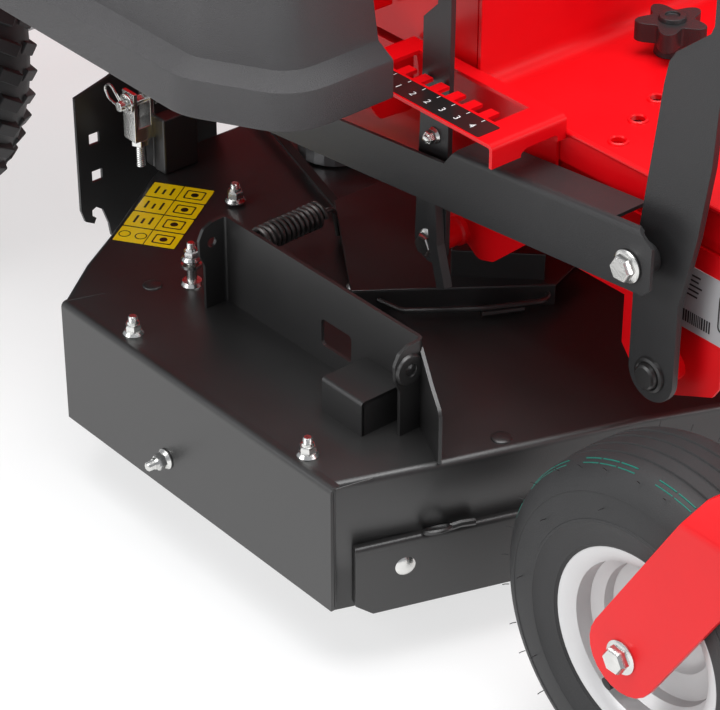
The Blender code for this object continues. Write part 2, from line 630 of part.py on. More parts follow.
def belt_cover(side, suffix):
    """Low folded cover over a spindle pulley, open behind and below, with a taller box on it."""
    points = [(side * x, FY + y) for x, y in ((0.373, 0.424), (0.312, 0.379), (0.240, 0.326),
                                              (0.185, 0.345), (0.185, 0.545), (0.290, 0.545))]
    high, low = 0.192, DECK_TOP + GAP
    bm = bmesh.new()
    top = [bm.verts.new((x, y, high)) for x, y in points]
    bottom = [bm.verts.new((x, y, low)) for x, y in points[:3]]
    bm.faces.new(top)
    for i in (0, 1):
        bm.faces.new((top[i], top[i + 1], bottom[i + 1], bottom[i]))
    cover = outward_shell("belt_cover_" + suffix, bm, 0.002)
    box = [(side * x, FY + y) for x, y in ((0.294, 0.385), (0.243, 0.336), (0.200, 0.380), (0.251, 0.429))]
    return union(cover, plate("tool", [box], "z", high - 0.001, 0.216))


def blade(side, suffix):
    """Flat bar with a raised lift at each trailing end."""
    x, z = side * SPINDLE_X, 0.068
    half = 0.030
    bar = plate("blade_" + suffix, [[(x - BLADE_R, SPINDLE_Y - half), (x + BLADE_R, SPINDLE_Y - half),
                                     (x + BLADE_R, SPINDLE_Y + half), (x - BLADE_R, SPINDLE_Y + half)]],
                "z", z - 0.0065, z - 0.0023, (0.25, 0.25, 0.26), 0.35, 0.8, origin=(x, SPINDLE_Y, z))
    for hand in (-1, 1):
        wing = [(hand * half * 0.35, z - 0.0063), (hand * half * 0.999, z + 0.018),
                (hand * half * 0.999, z + 0.014), (hand * half * 0.60, z - 0.0063)]
        wing = [(SPINDLE_Y + y, height) for y, height in wing]
        low, high = sorted((x + hand * (BLADE_R - 0.10), x + hand * (BLADE_R - 0.002)))
        union(bar, plate("tool", [wing], "x", low, high))
    return bar


def deck_spring():
    """Outer shape of the coil spring beside the chute bracket."""
    return add("deck_spring", rod((-0.392, FY + 0.515, 0.206), (-0.328, FY + 0.515, 0.206), 0.0115, 16),
               (0.06, 0.06, 0.06), 0.4, 0.6)


def rear_hanger():
    """Clevis, pin and adjusting bolt that hang the rear of the deck."""
    x, y = -0.362, FY + 0.722
    hanger = add("rear_hanger", block((x - 0.010, y - 0.010, 0.222), (x + 0.010, y + 0.010, 0.252)),
                 SILVER, 0.35, 0.8)
    return union(hanger, tool_rod((x, y, 0.178), (x, y, 0.23), 0.0045, 12),
                 tool_rod((x - 0.020, y, 0.241), (x + 0.018, y, 0.241), 0.0045, 12),
                 tool_block((x - 0.010, y - 0.014, 0.1725), (x + 0.010, y - 0.0095, 0.2235)))


# ---- lift linkage ---------------------------------------------------------------------------
def lift_pedal_arm():
    half = 0.0225
    rise = [(PEDAL_Y + half, PEDAL_Z), (FY + 0.1645, 0.355), (FY + 0.147, 0.470), (FY + 0.130, 0.590)]
    fall = [(FY + 0.085, 0.590), (FY + 0.102, 0.470), (FY + 0.1195, 0.362), (PEDAL_Y - half, PEDAL_Z)]
    foot = arc((PEDAL_Y, PEDAL_Z), half, 180, 360, 8)[1:-1]
    arm = plate("lift_pedal_arm", [rise + fall + foot], "x", -ARM_X, -ARM_X + 0.006, BLACK, 0.4,
                origin=(-ARM_X + 0.003, PEDAL_Y, PEDAL_Z))
    head = tool_rod((-ARM_X - 0.0045, PEDAL_Y, PEDAL_Z), (-ARM_X + 0.003, PEDAL_Y, PEDAL_Z), 0.011, 16)
    step = tool_block((-ARM_X + 0.001, FY + 0.087, 0.572), (-ARM_X + 0.075, FY + 0.093, 0.588))
    return union(arm, head, step)


def lift_pedal_pad():
    return rounded_box("lift_pedal_pad", (-0.296, FY + 0.0650, 0.545), (-0.226, FY + 0.0865, 0.620), 0.006,
                       RUBBER, 0.8, 2, origin=(-0.26, PEDAL_Y, PEDAL_Z))


def channel_line(y, height):
    """Height above the lower edge of the sloping channel."""
    return 0.313 - CHANNEL_FALL * (y - FY - 0.13) + height


def lift_channel():
    """Sloping link from the pedal arm to the rear lift shaft, with a turned-in upper edge."""
    front, step, rear = FY + 0.127, FY + 0.335, FY + 0.625
    corners = [(front, 0.004), (front + 0.005, 0.0), (rear, 0.0), (rear, 0.038), (step + 0.010, 0.038),
               (step, 0.053), (front + 0.018, 0.053), (front, 0.040)]
    web = [(y, channel_line(min(y, rear), height)) for y, height in corners]
    outer = -CHANNEL_X
    channel = plate("lift_channel", [web], "x", outer, outer + SHEET, BLACK, 0.4)
    run = (FY + 0.172, step)
    flange = [(run[0], channel_line(run[0], 0.050)), (run[1], channel_line(run[1], 0.050)),
              (run[1], channel_line(run[1], 0.053)), (run[0], channel_line(run[0], 0.053))]
    pin = (CHANNEL_PIN_Y, CHANNEL_PIN_Z)
    return union(channel, plate("tool", [flange], "x", outer + 0.001, outer + 0.034),
                 tool_rod((outer + 0.001, *pin), (-ARM_X - GAP, *pin), 0.0115, 20),
                 tool_rod((outer - 0.0055, *pin), (outer + 0.001, *pin), 0.0120, 12))


def lift_shaft():
    """Cross shaft through both rails with a crank at each end."""
    shaft = add("lift_shaft", rod((-0.3405, SHAFT_Y, SHAFT_Z), (0.3405, SHAFT_Y, SHAFT_Z), 0.0110, 16),
                BLACK, 0.4, origin=(0, SHAFT_Y, SHAFT_Z))
    crank = [(SHAFT_Y - 0.018, SHAFT_Z + 0.016), (SHAFT_Y - 0.013, SHAFT_Z - 0.068),
             (SHAFT_Y + 0.013, SHAFT_Z - 0.068), (SHAFT_Y + 0.018, SHAFT_Z + 0.016)]
    for low, high in ((-0.3405, -0.3355), (0.3355, 0.3405)):
        union(shaft, plate("tool", [crank], "x", low, high))
    return shaft


def height_lever():
    """Flat lever on the gate's boss, with a narrow tang for its grip."""
    outline = [(FY + 0.3555, 0.395), (FY + 0.3550, 0.440), (FY + 0.3550, 0.535), (FY + 0.3700, 0.535),
               (FY + 0.3700, 0.452), (FY + 0.3860, 0.436), (FY + 0.3865, 0.395)]
    foot = arc((LEVER_Y, LEVER_Z), 0.018, 0, -180, 8)
    lever = plate("height_lever", [outline + foot], "x", -LEVER_X, -LEVER_X + 0.005, BLACK, 0.4,
                  origin=(-LEVER_X + 0.0025, LEVER_Y, LEVER_Z))
    head = tool_rod((-LEVER_X - 0.0060, LEVER_Y, LEVER_Z), (-LEVER_X + 0.002, LEVER_Y, LEVER_Z), 0.0105, 6)
    return union(lever, head)


def height_lever_grip():
    return rounded_box("height_lever_grip", (-LEVER_X - 0.0125, FY + 0.3460, 0.5353),
                       (-LEVER_X + 0.0175, FY + 0.3790, 0.620), 0.009, BLACK, 0.6, 2,
                       origin=(-LEVER_X + 0.0025, LEVER_Y, LEVER_Z))


# ---- seat and controls ----------------------------------------------------------------------
def seat():
    hinge = (0, SEAT_HINGE_Y, SEAT_HINGE_Z)
    pan = rounded_box("seat_pan", (-0.225, FY + 0.455, 0.5454), (0.225, FY + 0.960, 0.5620), 0.005,
                      BLACK, 0.6, 1, origin=hinge)
    union(pan, tool_block((-0.225, FY + 0.945, 0.548), (0.225, FY + 0.960, 0.930)))
    for x in (-0.15, 0.15):
        union(pan, tool_rod((x - 0.03, SEAT_HINGE_Y, SEAT_HINGE_Z), (x + 0.03, SEAT_HINGE_Y, SEAT_HINGE_Z),
                            0.0105, 16))
    rounded_box("seat_cushion", (-0.235, FY + 0.450, 0.5625), (0.235, FY + 0.860, 0.655), 0.030,
                BLACK, 0.5, 3, origin=hinge)
    rounded_box("seat_back", (-0.235, FY + 0.865, 0.590), (0.235, FY + 0.9445, 0.990), 0.028,
                BLACK, 0.5, 3, origin=hinge)


def control_arm(side, suffix):
    """Pivoted upright beside the seat that carries a lap bar."""
    x, y, z = side * ARM_PIVOT[0], ARM_PIVOT[1], ARM_PIVOT[2]
    arm = add("control_arm_" + suffix, block((x - 0.004, y - 0.022, z - 0.022),
                                             (x + 0.004, y + 0.022, z + 0.080)), BLACK, 0.4, origin=(x, y, z))
    return union(arm, tool_rod((x - 0.008, y, z), (x + 0.008, y, z), 0.018, 20))


def lap_bar(side, suffix):
    """Bent tube from the control arm up, forward and in over the lap."""
    x, y = side * ARM_PIVOT[0], ARM_PIVOT[1]
    out = x + side * 0.0175
    corner, tip = Vector((out, FY + 0.390, 0.945)), Vector((side * 0.045, FY + 0.370, 0.945))
    route = [(out, y, SWING_Z - 0.005), (out, y, 0.760), (out, FY + 0.500, 0.930), corner, tip]
    bar = tube("lap_bar_" + suffix, bend(route, 0.07, 5), 0.0120, BLACK, 0.35, sides=2,
               origin=(out, y, SWING_Z))
    grip = tube("lap_grip_" + suffix, [corner.lerp(tip, 0.30), corner.lerp(tip, 0.96)], 0.0190, RUBBER, 0.9,
                sides=3, origin=(out, y, SWING_Z))
    core = tube("tool", [corner.lerp(tip, 0.1), corner.lerp(tip, 1.1)], 0.0138, None, sides=2)
    cut(grip, core)
    return bar


def small_controls():
    turned("fuel_cap", [(0, 0.5950), (0.036, 0.5950), (0.042, 0.5900), (0.042, 0.5646), (0, 0.5646)], "z",
           (0.400, FY + 0.60, 0), BLACK, 0.5, steps=20)
    knob = (-0.145, FY + 0.307)
    star = []
    for angle in [2 * math.pi * i / 40 for i in range(40)]:
        reach = 0.024 + 0.0055 * math.cos(5 * angle)
        star.append((knob[0] + reach * math.cos(angle), knob[1] + reach * math.sin(angle)))
    top = plate("star_knob", [star], "z", 0.388, 0.404, BLACK, 0.5, origin=(*knob, 0.39))
    union(top, tool_rod((*knob, PAN_Z + GAP), (*knob, 0.39), 0.012, 16),
          tool_rod((*knob, 0.40), (*knob, 0.408), 0.011, 16))
    route = [(0.283, FY + 0.560, 0.5650), (0.283, FY + 0.540, 0.60), (0.283, FY + 0.500, 0.70)]
    brake = tube("parking_brake_lever", bend(route, 0.02, 3), 0.0060, BLACK, 0.4, sides=2,
                 origin=(0.283, FY + 0.560, 0.545))
    union(brake, tool_rod((0.276, FY + 0.560, 0.545), (0.290, FY + 0.560, 0.545), 0.0145, 16),
          tool_block((0.280, FY + 0.553, 0.545), (0.286, FY + 0.567, 0.572)))
    throttle = add("throttle_lever", block((-0.4030, FY + 0.636, 0.5700), (-0.3970, FY + 0.644, 0.612)),
                   BLACK, 0.5, origin=(-0.40, FY + 0.640, 0.5745))
    union(throttle, tool_rod((-0.4080, FY + 0.640, 0.5745), (-0.3920, FY + 0.640, 0.5745), 0.0085, 14),
          tool_rod((-0.4090, FY + 0.640, 0.6120), (-0.3910, FY + 0.640, 0.6120), 0.0080, 14))


# ---- build ----------------------------------------------------------------------------------
def build():
    chassis_frame()
    floor_pan()
    height_gate()
    lift_pivot_bracket()
    rear_guard_plate()
    engine_guard()
    seat_base()
    for side, suffix in ((RIGHT, "right"), (LEFT, "left")):
        fender(side, "fender_" + suffix)
        wheels(side, suffix)
        caster_fork(side, suffix)
        transaxle(side, suffix)
        belt_cover(side, suffix)
        blade(side, suffix)
        control_arm(side, suffix)
        lap_bar(side, suffix)
    engine()
    pulleys()
    idler()
    deck_belt()
    deck_shell()
    discharge_cover()
    chute_bracket()
    front_baffle()
    deck_spring()
    rear_hanger()
    lift_pedal_arm()
    lift_pedal_pad()
    lift_channel()
    lift_shaft()
    height_lever()
    height_lever_grip()
    seat()
    small_controls()


build()
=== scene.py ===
"""Looks of the zero turn mower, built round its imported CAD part.

Metres, +Z up. The front is -Y and the operator's right hand is -X.
"""

import math
import random

import bmesh
import bpy
from mathutils import Matrix, Vector


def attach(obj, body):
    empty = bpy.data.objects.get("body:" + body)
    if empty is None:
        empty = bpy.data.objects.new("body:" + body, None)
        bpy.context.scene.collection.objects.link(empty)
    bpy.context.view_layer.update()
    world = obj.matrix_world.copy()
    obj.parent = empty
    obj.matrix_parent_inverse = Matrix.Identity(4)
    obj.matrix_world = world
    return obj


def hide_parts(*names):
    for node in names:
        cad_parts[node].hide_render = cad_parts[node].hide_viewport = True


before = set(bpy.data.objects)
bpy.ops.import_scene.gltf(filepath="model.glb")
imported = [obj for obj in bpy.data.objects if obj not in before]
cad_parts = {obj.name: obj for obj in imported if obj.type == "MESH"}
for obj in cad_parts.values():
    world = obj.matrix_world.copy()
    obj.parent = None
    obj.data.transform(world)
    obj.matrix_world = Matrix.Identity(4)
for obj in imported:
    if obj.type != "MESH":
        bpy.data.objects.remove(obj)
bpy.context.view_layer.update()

FY = -0.69                 # front axle; most places are measured back from it
RY = FY + 1.10             # rear axle
ENGINE_Y = FY + 1.27
PAN_Z = 0.375              # walking surface
PAN_HALF = 0.2983          # half the floor pan's width
DECK_TOP = 0.172
GATE_Z = 0.390
CASTER_X, CASTER_R = 0.430, 0.1397
WHEEL_X, WHEEL_R = 0.452, 0.2286
ARM_Y = FY + 0.690         # control arms and lap bars
LAP_X, LAP_Z = 0.3325, 0.655
CAP_X, CAP_Y = 0.400, FY + 0.60
SEAT_HALF = 0.232
SEAT_FRONT, SEAT_REAR = FY + 0.452, FY + 0.858
SWELL = 0.010              # most that the padding may swell
STITCH_REACH, STITCH_PULL = 0.012, 0.0060
CLOTH_FRAMES = 14
RIGHT, LEFT = -1, 1
SIDES = ((RIGHT, "right"), (LEFT, "left"))


# ---- materials ------------------------------------------------------------------------------
def surface(name, colour, roughness, metallic=0.0, mottle=0.10, mottle_scale=9.0, grain=400.0,
            bump=0.05, coat=0.0, cells=False, dust=None, specular=0.5):
    """Principled surface with uneven colour and roughness, and a fine grain."""
    material = bpy.data.materials.new(name)
    material.use_nodes = True
    nodes, links = material.node_tree.nodes, material.node_tree.links
    shader = nodes["Principled BSDF"]
    shader.inputs["Metallic"].default_value = metallic
    shader.inputs["Coat Weight"].default_value = coat
    shader.inputs["Specular IOR Level"].default_value = specular
    shader.inputs["Coat Roughness"].default_value = 0.08
    place = nodes.new("ShaderNodeTexCoord")
    cloud = nodes.new("ShaderNodeTexNoise")
    cloud.inputs["Scale"].default_value = mottle_scale
    cloud.inputs["Detail"].default_value = 5
    links.new(place.outputs["Object"], cloud.inputs["Vector"])
    ramp = nodes.new("ShaderNodeValToRGB")
    light = dust or [min(1, c * (1 + mottle) + 0.002) for c in colour]
    ramp.color_ramp.elements[0].color = (*[c * (1 - mottle) for c in colour], 1)
    ramp.color_ramp.elements[0].position = 0.35
    ramp.color_ramp.elements[1].color = (*light, 1)
    ramp.color_ramp.elements[1].position = 0.70
    links.new(cloud.outputs["Fac"], ramp.inputs["Fac"])
    links.new(ramp.outputs["Color"], shader.inputs["Base Color"])
    spread = nodes.new("ShaderNodeMapRange")
    spread.inputs["To Min"].default_value = roughness * 0.85
    spread.inputs["To Max"].default_value = min(1.0, roughness * 1.15)
    links.new(cloud.outputs["Fac"], spread.inputs["Value"])
    links.new(spread.outputs["Result"], shader.inputs["Roughness"])
    fine = nodes.new("ShaderNodeTexVoronoi" if cells else "ShaderNodeTexNoise")
    fine.inputs["Scale"].default_value = grain
    links.new(place.outputs["Object"], fine.inputs["Vector"])
    relief = nodes.new("ShaderNodeBump")
    relief.inputs["Strength"].default_value = bump
    relief.inputs["Distance"].default_value = 0.001
    links.new(fine.outputs["Distance" if cells else "Fac"], relief.inputs["Height"])
    links.new(relief.outputs["Normal"], shader.inputs["Normal"])
    return material


RED = surface("red_powder_coat", (0.78, 0.001, 0.005), 0.34, mottle=0.04, grain=160, bump=0.06, coat=0.10,
              specular=0.28)
BLACK = surface("black_powder_coat", (0.0125, 0.0120, 0.0120), 0.36, grain=900, bump=0.10, specular=0.80)
CHARCOAL = surface("charcoal_powder_coat", (0.022, 0.022, 0.023), 0.42, grain=1100, bump=0.22)
GREY = surface("grained_grey_plastic", (0.052, 0.050, 0.052), 0.50, grain=1500, bump=0.45, cells=True)
MOULD = surface("black_moulding", (0.016, 0.016, 0.017), 0.42, grain=900, bump=0.25, cells=True)
RUBBER = surface("soft_rubber", (0.018, 0.018, 0.018), 0.70, grain=700, bump=0.30)
TYRE = surface("tyre_rubber", (0.017, 0.017, 0.0175), 0.58, mottle_scale=14, grain=900, bump=0.25,
               dust=(0.024, 0.024, 0.025))
SILVER = surface("silver_rim_paint", (0.66, 0.66, 0.66), 0.36, metallic=0.35, mottle=0.06, bump=0.06)
ZINC = surface("bright_zinc", (0.72, 0.72, 0.70), 0.24, metallic=1.0, mottle_scale=60, grain=500, bump=0.10)
STEEL = surface("pressed_steel", (0.34, 0.34, 0.35), 0.38, metallic=0.9, mottle_scale=30, bump=0.12)
SPRING = surface("oiled_spring_steel", (0.085, 0.080, 0.078), 0.36, metallic=0.65, mottle_scale=80,
                 bump=0.10)
ALUMINIUM = surface("cast_aluminium", (0.42, 0.42, 0.43), 0.52, metallic=0.7, grain=350, bump=0.60)
HEAT = surface("heat_proof_coat", (0.085, 0.075, 0.068), 0.62, metallic=0.5, mottle=0.35, mottle_scale=25,
               bump=0.3)
VINYL = surface("grained_vinyl", (0.020, 0.020, 0.022), 0.46, grain=330, bump=0.35, cells=True)
YELLOW = surface("yellow_label", (1.0, 0.72, 0.0), 0.34, mottle=0.03, bump=0.03, coat=0.3)
PRINT = surface("black_print", (0.008, 0.008, 0.008), 0.35, bump=0.03, coat=0.2)
PLATE_GREY = surface("silver_label", (0.55, 0.56, 0.57), 0.30, metallic=0.3, mottle=0.03, bump=0.03)
WHITE = surface("white_print", (0.80, 0.80, 0.80), 0.40, mottle=0.02, bump=0.02)
TEAL = surface("teal_mark", (0.0, 0.16, 0.12), 0.55, bump=0.10)
SCREEN = surface("screen_black", (0.012, 0.012, 0.012), 0.55, bump=0.15)


# ---- shape helpers --------------------------------------------------------------------------
AXES = {                   # outline (u, v) and thickness w in world axes
    "x": Matrix(((0, 0, 1, 0), (1, 0, 0, 0), (0, 1, 0, 0), (0, 0, 0, 1))),
    "y": Matrix(((1, 0, 0, 0), (0, 0, -1, 0), (0, 1, 0, 0), (0, 0, 0, 1))),
    "z": Matrix.Identity(4),
}


def piece(name, bm, material, body, replaces=(), bevel=0.0, segments=2, angle=35):
    """Link a bmesh as a shown piece that rides a CAD body."""
    bmesh.ops.remove_doubles(bm, verts=bm.verts, dist=0.00001)
    bmesh.ops.recalc_face_normals(bm, faces=bm.faces)
    mesh = bpy.data.meshes.new(name)
    bm.to_mesh(mesh)
    bm.free()
    obj = bpy.data.objects.new(name, mesh)
    bpy.context.scene.collection.objects.link(obj)
    mesh.materials.append(material)
    mesh.shade_smooth()
    mesh.set_sharp_from_angle(angle=math.radians(angle))
    if bevel:
        modifier = obj.modifiers.new("edge", "BEVEL")
        modifier.width = bevel
        modifier.segments = segments
        modifier.limit_method = "ANGLE"
        modifier.angle_limit = math.radians(angle)
        modifier.harden_normals = True
    if replaces:
        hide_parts(*replaces)
    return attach(obj, body)


def evaluated(obj):
    """Mesh of an object with its modifiers applied, as a bmesh in world axes."""
    bpy.context.view_layer.update()
    graph = bpy.context.evaluated_depsgraph_get()
    mesh = bpy.data.meshes.new_from_object(obj.evaluated_get(graph))
    mesh.transform(obj.matrix_world)
    bm = bmesh.new()
    bm.from_mesh(mesh)
    bpy.data.meshes.remove(mesh)
    return bm


def temporary(bm):
    mesh = bpy.data.meshes.new("temporary")
    bm.to_mesh(mesh)
    bm.free()
    obj = bpy.data.objects.new("temporary", mesh)
    bpy.context.scene.collection.objects.link(obj)
    return obj


def combine(bm, tool, operation):
    """Boolean of two closed bmeshes."""
    one, two = temporary(bm), temporary(tool)
    modifier = one.modifiers.new("join", "BOOLEAN")
    modifier.operation = operation
    modifier.object = two
    result = evaluated(one)
    bpy.data.objects.remove(one)
    bpy.data.objects.remove(two)
    return result


def cut(bm, *tools):
    for tool in tools:
        bm = combine(bm, tool, "DIFFERENCE")
    return bm


def common(bm, tool):
    return combine(bm, tool, "INTERSECT")


def gather(*parts):
    """All the bmeshes in one, not welded to each other."""
    result = bmesh.new()
    for bm in parts:
        mesh = bpy.data.meshes.new("gathered")
        bm.to_mesh(mesh)
        bm.free()
        result.from_mesh(mesh)
        bpy.data.meshes.remove(mesh)
    return result


def block(low, high):
    low, high = Vector(map(min, low, high)), Vector(map(max, low, high))
    bm = bmesh.new()
    bmesh.ops.create_cube(bm, size=1, matrix=Matrix.Translation((low + high) / 2)
                          @ Matrix.Diagonal((*(high - low), 1)))
    return bm


def prism(loops, axis, low, high):
    """A flat outline, with any holes as further loops, thickened between two planes."""
    curve = bpy.data.curves.new("outline", "CURVE")
    curve.dimensions = "2D"
    curve.fill_mode = "BOTH"
    curve.extrude = abs(high - low) / 2
    for points in loops:
        spline = curve.splines.new("POLY")
        spline.points.add(len(points) - 1)
        for point, (u, v) in zip(spline.points, points):
            point.co = (u, v, 0, 1)
        spline.use_cyclic_u = True
    obj = bpy.data.objects.new("outline", curve)
    bpy.context.scene.collection.objects.link(obj)
    shift = (low + high) / 2 * (-1 if axis == "y" else 1)
    obj.matrix_world = AXES[axis] @ Matrix.Translation((0, 0, shift))
    bm = evaluated(obj)
    bpy.data.objects.remove(obj)
    bmesh.ops.remove_doubles(bm, verts=bm.verts, dist=0.00001)
    bmesh.ops.recalc_face_normals(bm, faces=bm.faces)
    return bm


def lathe(profile, centre, direction=(0, 0, 1), steps=48):
    """A (radius, along) profile turned about a direction; it is closed when it starts off the axis."""
    turn = Vector(direction).to_track_quat("Z", "Y").to_matrix()
    centre = Vector(centre)
    bm = bmesh.new()
    closed = not (profile[0][0] == 0 and profile[-1][0] == 0)
    rings = []
    for radius, along in profile:
        if radius == 0:
            rings.append([bm.verts.new(centre + turn @ Vector((0, 0, along)))] * steps)
        else:
            rings.append([bm.verts.new(centre + turn @ Vector((radius * math.cos(2 * math.pi * i / steps),
                                                               radius * math.sin(2 * math.pi * i / steps),
                                                               along)))
                          for i in range(steps)])
    pairs = list(zip(rings, rings[1:])) + ([(rings[-1], rings[0])] if closed else [])
    for one, two in pairs:
        for i in range(steps):
            j = (i + 1) % steps
            corners = [one[i], one[j], two[j], two[i]]
            unique = [v for k, v in enumerate(corners) if v not in corners[:k]]
            if len(unique) > 2:
                bm.faces.new(unique)
    return bm


def fillet(points, radius, steps=6):
    """2D or 3D route with rounded inner corners."""
    points = [Vector(p) for p in points]
    route = [points[0]]
    for before, corner, after in zip(points, points[1:], points[2:]):
        one, two = (before - corner).normalized(), (after - corner).normalized()
        half = max(0.05, one.angle(two) / 2)
        reach = min(radius / math.tan(half), (before - corner).length * 0.49,
                    (after - corner).length * 0.49)
        start, end = corner + one * reach, corner + two * reach
        for i in range(steps + 1):
            t = i / steps
            route.append(start * (1 - t) ** 2 + corner * 2 * t * (1 - t) + end * t * t)
    route.append(points[-1])
    return [p for i, p in enumerate(route) if not i or (p - route[i - 1]).length > 0.00002]


def ring_of(points, radius, steps=5):
    """Closed 2D outline with every corner rounded."""
    points = [Vector(p) for p in points]
    middle = (points[-1] + points[0]) / 2
    route = fillet([middle] + points + [middle], radius, steps)
    return [tuple(p) for p in route[:-1]]


def ribbon(points, thickness, radius, steps=6):
    """Closed outline of a folded sheet whose middle line runs through the points."""
    line = fillet(points, radius, steps)
    left, right = [], []
    for i, spot in enumerate(line):
        along = (line[min(i + 1, len(line) - 1)] - line[max(i - 1, 0)]).normalized()
        side = Vector((-along[1], along[0])) * thickness / 2
        left.append(tuple(spot + side))
        right.append(tuple(spot - side))
    return left + right[::-1]


def arc(centre, radius, start, end, steps=10):
    angles = [math.radians(start + (end - start) * i / steps) for i in range(steps + 1)]
    return [(centre[0] + radius * math.cos(a), centre[1] + radius * math.sin(a)) for a in angles]


def circle(centre, radius, steps=16):
    return arc(centre, radius, 0, 360, steps)[:-1]


def sweep(points, radius, sides=10, closed=False):
    """Round tube through 3D points."""
    points = [Vector(p) for p in points]
    count = len(points)
    bm = bmesh.new()
    rings, normal = [], None
    for i, spot in enumerate(points):
        before = points[(i - 1) % count] if closed or i else spot
        after = points[(i + 1) % count] if closed or i < count - 1 else spot
        along = (after - before).normalized()
        normal = (normal or along.orthogonal()) - along * along.dot(normal or along.orthogonal())
        normal.normalize()
        other = along.cross(normal)
        rings.append([bm.verts.new(spot + radius * (normal * math.cos(a) + other * math.sin(a)))
                      for a in [2 * math.pi * k / sides for k in range(sides)]])
    for one, two in list(zip(rings, rings[1:])) + ([(rings[-1], rings[0])] if closed else []):
        for k in range(sides):
            bm.faces.new((one[k], one[(k + 1) % sides], two[(k + 1) % sides], two[k]))
    if not closed:
        bm.faces.new(rings[0][::-1])
        bm.faces.new(rings[-1])
    return bm


# ---- fasteners ------------------------------------------------------------------------------
def hexagon(at, direction, across, height, chamfer=0.12):
    """Hexagonal head with a chamfered crown."""
    radius = across / math.sqrt(3)
    return lathe([(0, 0), (radius, 0), (radius, height * (1 - chamfer * 2)),
                  (radius * (1 - chamfer), height), (0, height)], at, direction, 6)


def flange_nut(at, direction, size=1.0, stud=0.007):
    """Flange nut on a stud end."""
    at, direction = Vector(at), Vector(direction).normalized()
    flange = lathe([(0, 0), (0.0086 * size, 0), (0.0086 * size, 0.0010 * size),
                    (0.0066 * size, 0.0034 * size), (0, 0.0034 * size)], at, direction, 28)
    nut = hexagon(at + direction * 0.0020 * size, direction, 0.0118 * size, 0.0075 * size)
    crown = lathe([(0, 0), (0.0050 * size, 0), (0.0044 * size, 0.0022 * size), (0, 0.0022 * size)],
                  at + direction * 0.0094 * size, direction, 20)
    height = 0.0094 * size + stud
    thread = [(0, 0)]
    for i in range(9):
        along = height * (0.45 + 0.55 * i / 9)
        thread += [(0.0038 * size, along), (0.0034 * size, along + height * 0.03)]
    thread += [(0.0028 * size, height), (0, height)]
    return gather(flange, nut, crown, lathe(thread, at, direction, 18))


def hex_bolt(at, direction, across=0.016, washer=True):
    """Flanged bolt head."""
    at, direction = Vector(at), Vector(direction).normalized()
    parts = [hexagon(at + direction * 0.0016, direction, across, across * 0.42, 0.16)]
    if washer:
        parts.append(lathe([(0, 0), (across * 0.72, 0), (across * 0.72, 0.0012), (across * 0.55, 0.0030),
                            (0, 0.0030)], at, direction, 30))
    return gather(*parts)


def dome(at, direction, radius, height):
    """Smooth carriage-bolt or rivet head."""
    profile = [(0, 0), (radius, 0)]
    profile += [(radius * math.cos(a), height * (0.12 + 0.88 * math.sin(a)))
                for a in [math.radians(15 * i) for i in range(6)]]
    return lathe(profile + [(0, height)], at, direction, 32)


def fasteners():
    """Nuts, bolts and rivets, one group for each body."""
    up, out = (0, 0, 1), (-1, 0, 0)
    deck = []
    for side in (RIGHT, LEFT):
        for x, y in ((0.525, 0.511), (0.526, 0.291), (0.344, 0.451), (0.335, 0.623)):
            deck.append(flange_nut((side * x, FY + y, DECK_TOP + (0.0025 if y > 0.6 else 0)), up,
                                   1.0 if y < 0.6 else 1.08))
    deck.append(hexagon((-0.335, FY + 0.623, DECK_TOP + 0.002), up, 0.012, 0.004))
    x, y = -0.4430, FY + 0.542
    deck.append(lathe([(0, 0), (0.0095, 0), (0.0080, 0.003), (0.0042, 0.0036), (0.0042, 0.016),
                       (0.0085, 0.0165), (0.0085, 0.019), (0.0045, 0.0195), (0.0045, 0.023),
                       (0, 0.023)], (x, y, DECK_TOP), up, 24))
    deck.append(flange_nut((x, y, DECK_TOP + 0.0225), up, 0.95))
    deck.append(flange_nut((-0.5425, FY + 0.450, 0.091), out, 1.02, 0.009))
    along = Vector((0.2250, -0.0791, 0)).normalized()
    front = Vector((along[1], -along[0], 0))
    deck.append(dome(Vector((-0.4876, FY + 0.2254, 0.0905)), front, 0.0100, 0.0052))
    piece("deck_fasteners", gather(*deck), ZINC, "deck")
    piece("deck_rivets", gather(*[dome((side * a, FY + b, DECK_TOP), up, 0.0082, 0.0020)
                                  for side in (RIGHT, LEFT) for a, b in ((0.401, 0.215), (0.470, 0.560))]),
          BLACK, "deck")
    piece("channel_bolt", hex_bolt((-0.3458, FY + 0.149, 0.331), out, 0.0180), ZINC, "lift_link")
    piece("lever_bolts", gather(hex_bolt((-0.3332, FY + 0.375, 0.244), out, 0.0165),
                                flange_nut((-0.3332, FY + 0.371, 0.341), out, 0.8, 0.003)), ZINC, "lever")
    for side, suffix in SIDES:
        x = side * CASTER_X
        piece("axle_bolts_" + suffix, gather(hex_bolt((x - 0.0556, FY, CASTER_R), (-1, 0, 0), 0.0185),
                                             hex_bolt((x + 0.0556, FY, CASTER_R), (1, 0, 0), 0.0185)),
              ZINC, "fork_" + suffix)
        bolts = []
        for i in range(5):
            a = 2 * math.pi * i / 5 + 0.3
            spot = (side * 0.4655, RY + 0.052 * math.cos(a), WHEEL_R + 0.052 * math.sin(a))
            bolts.append(hex_bolt(spot, (side, 0, 0), 0.017))
        piece("wheel_bolts_" + suffix, gather(*bolts), ZINC, "rear_wheel_" + suffix)


# ---- cutting deck ---------------------------------------------------------------------------
def offset(points, inset):
    """Closed outline moved inwards, corners mitred; the points run anticlockwise."""
    result = []
    for i, spot in enumerate(points):
        before, after = points[i - 1], points[(i + 1) % len(points)]
        one, two = (spot - before).normalized(), (after - spot).normalized()
        n1, n2 = Vector((-one[1], one[0])), Vector((-two[1], two[0]))
        mitre = (n1 + n2).normalized()
        result.append(spot + mitre * inset / max(0.3, mitre.dot(n1)))
    return result


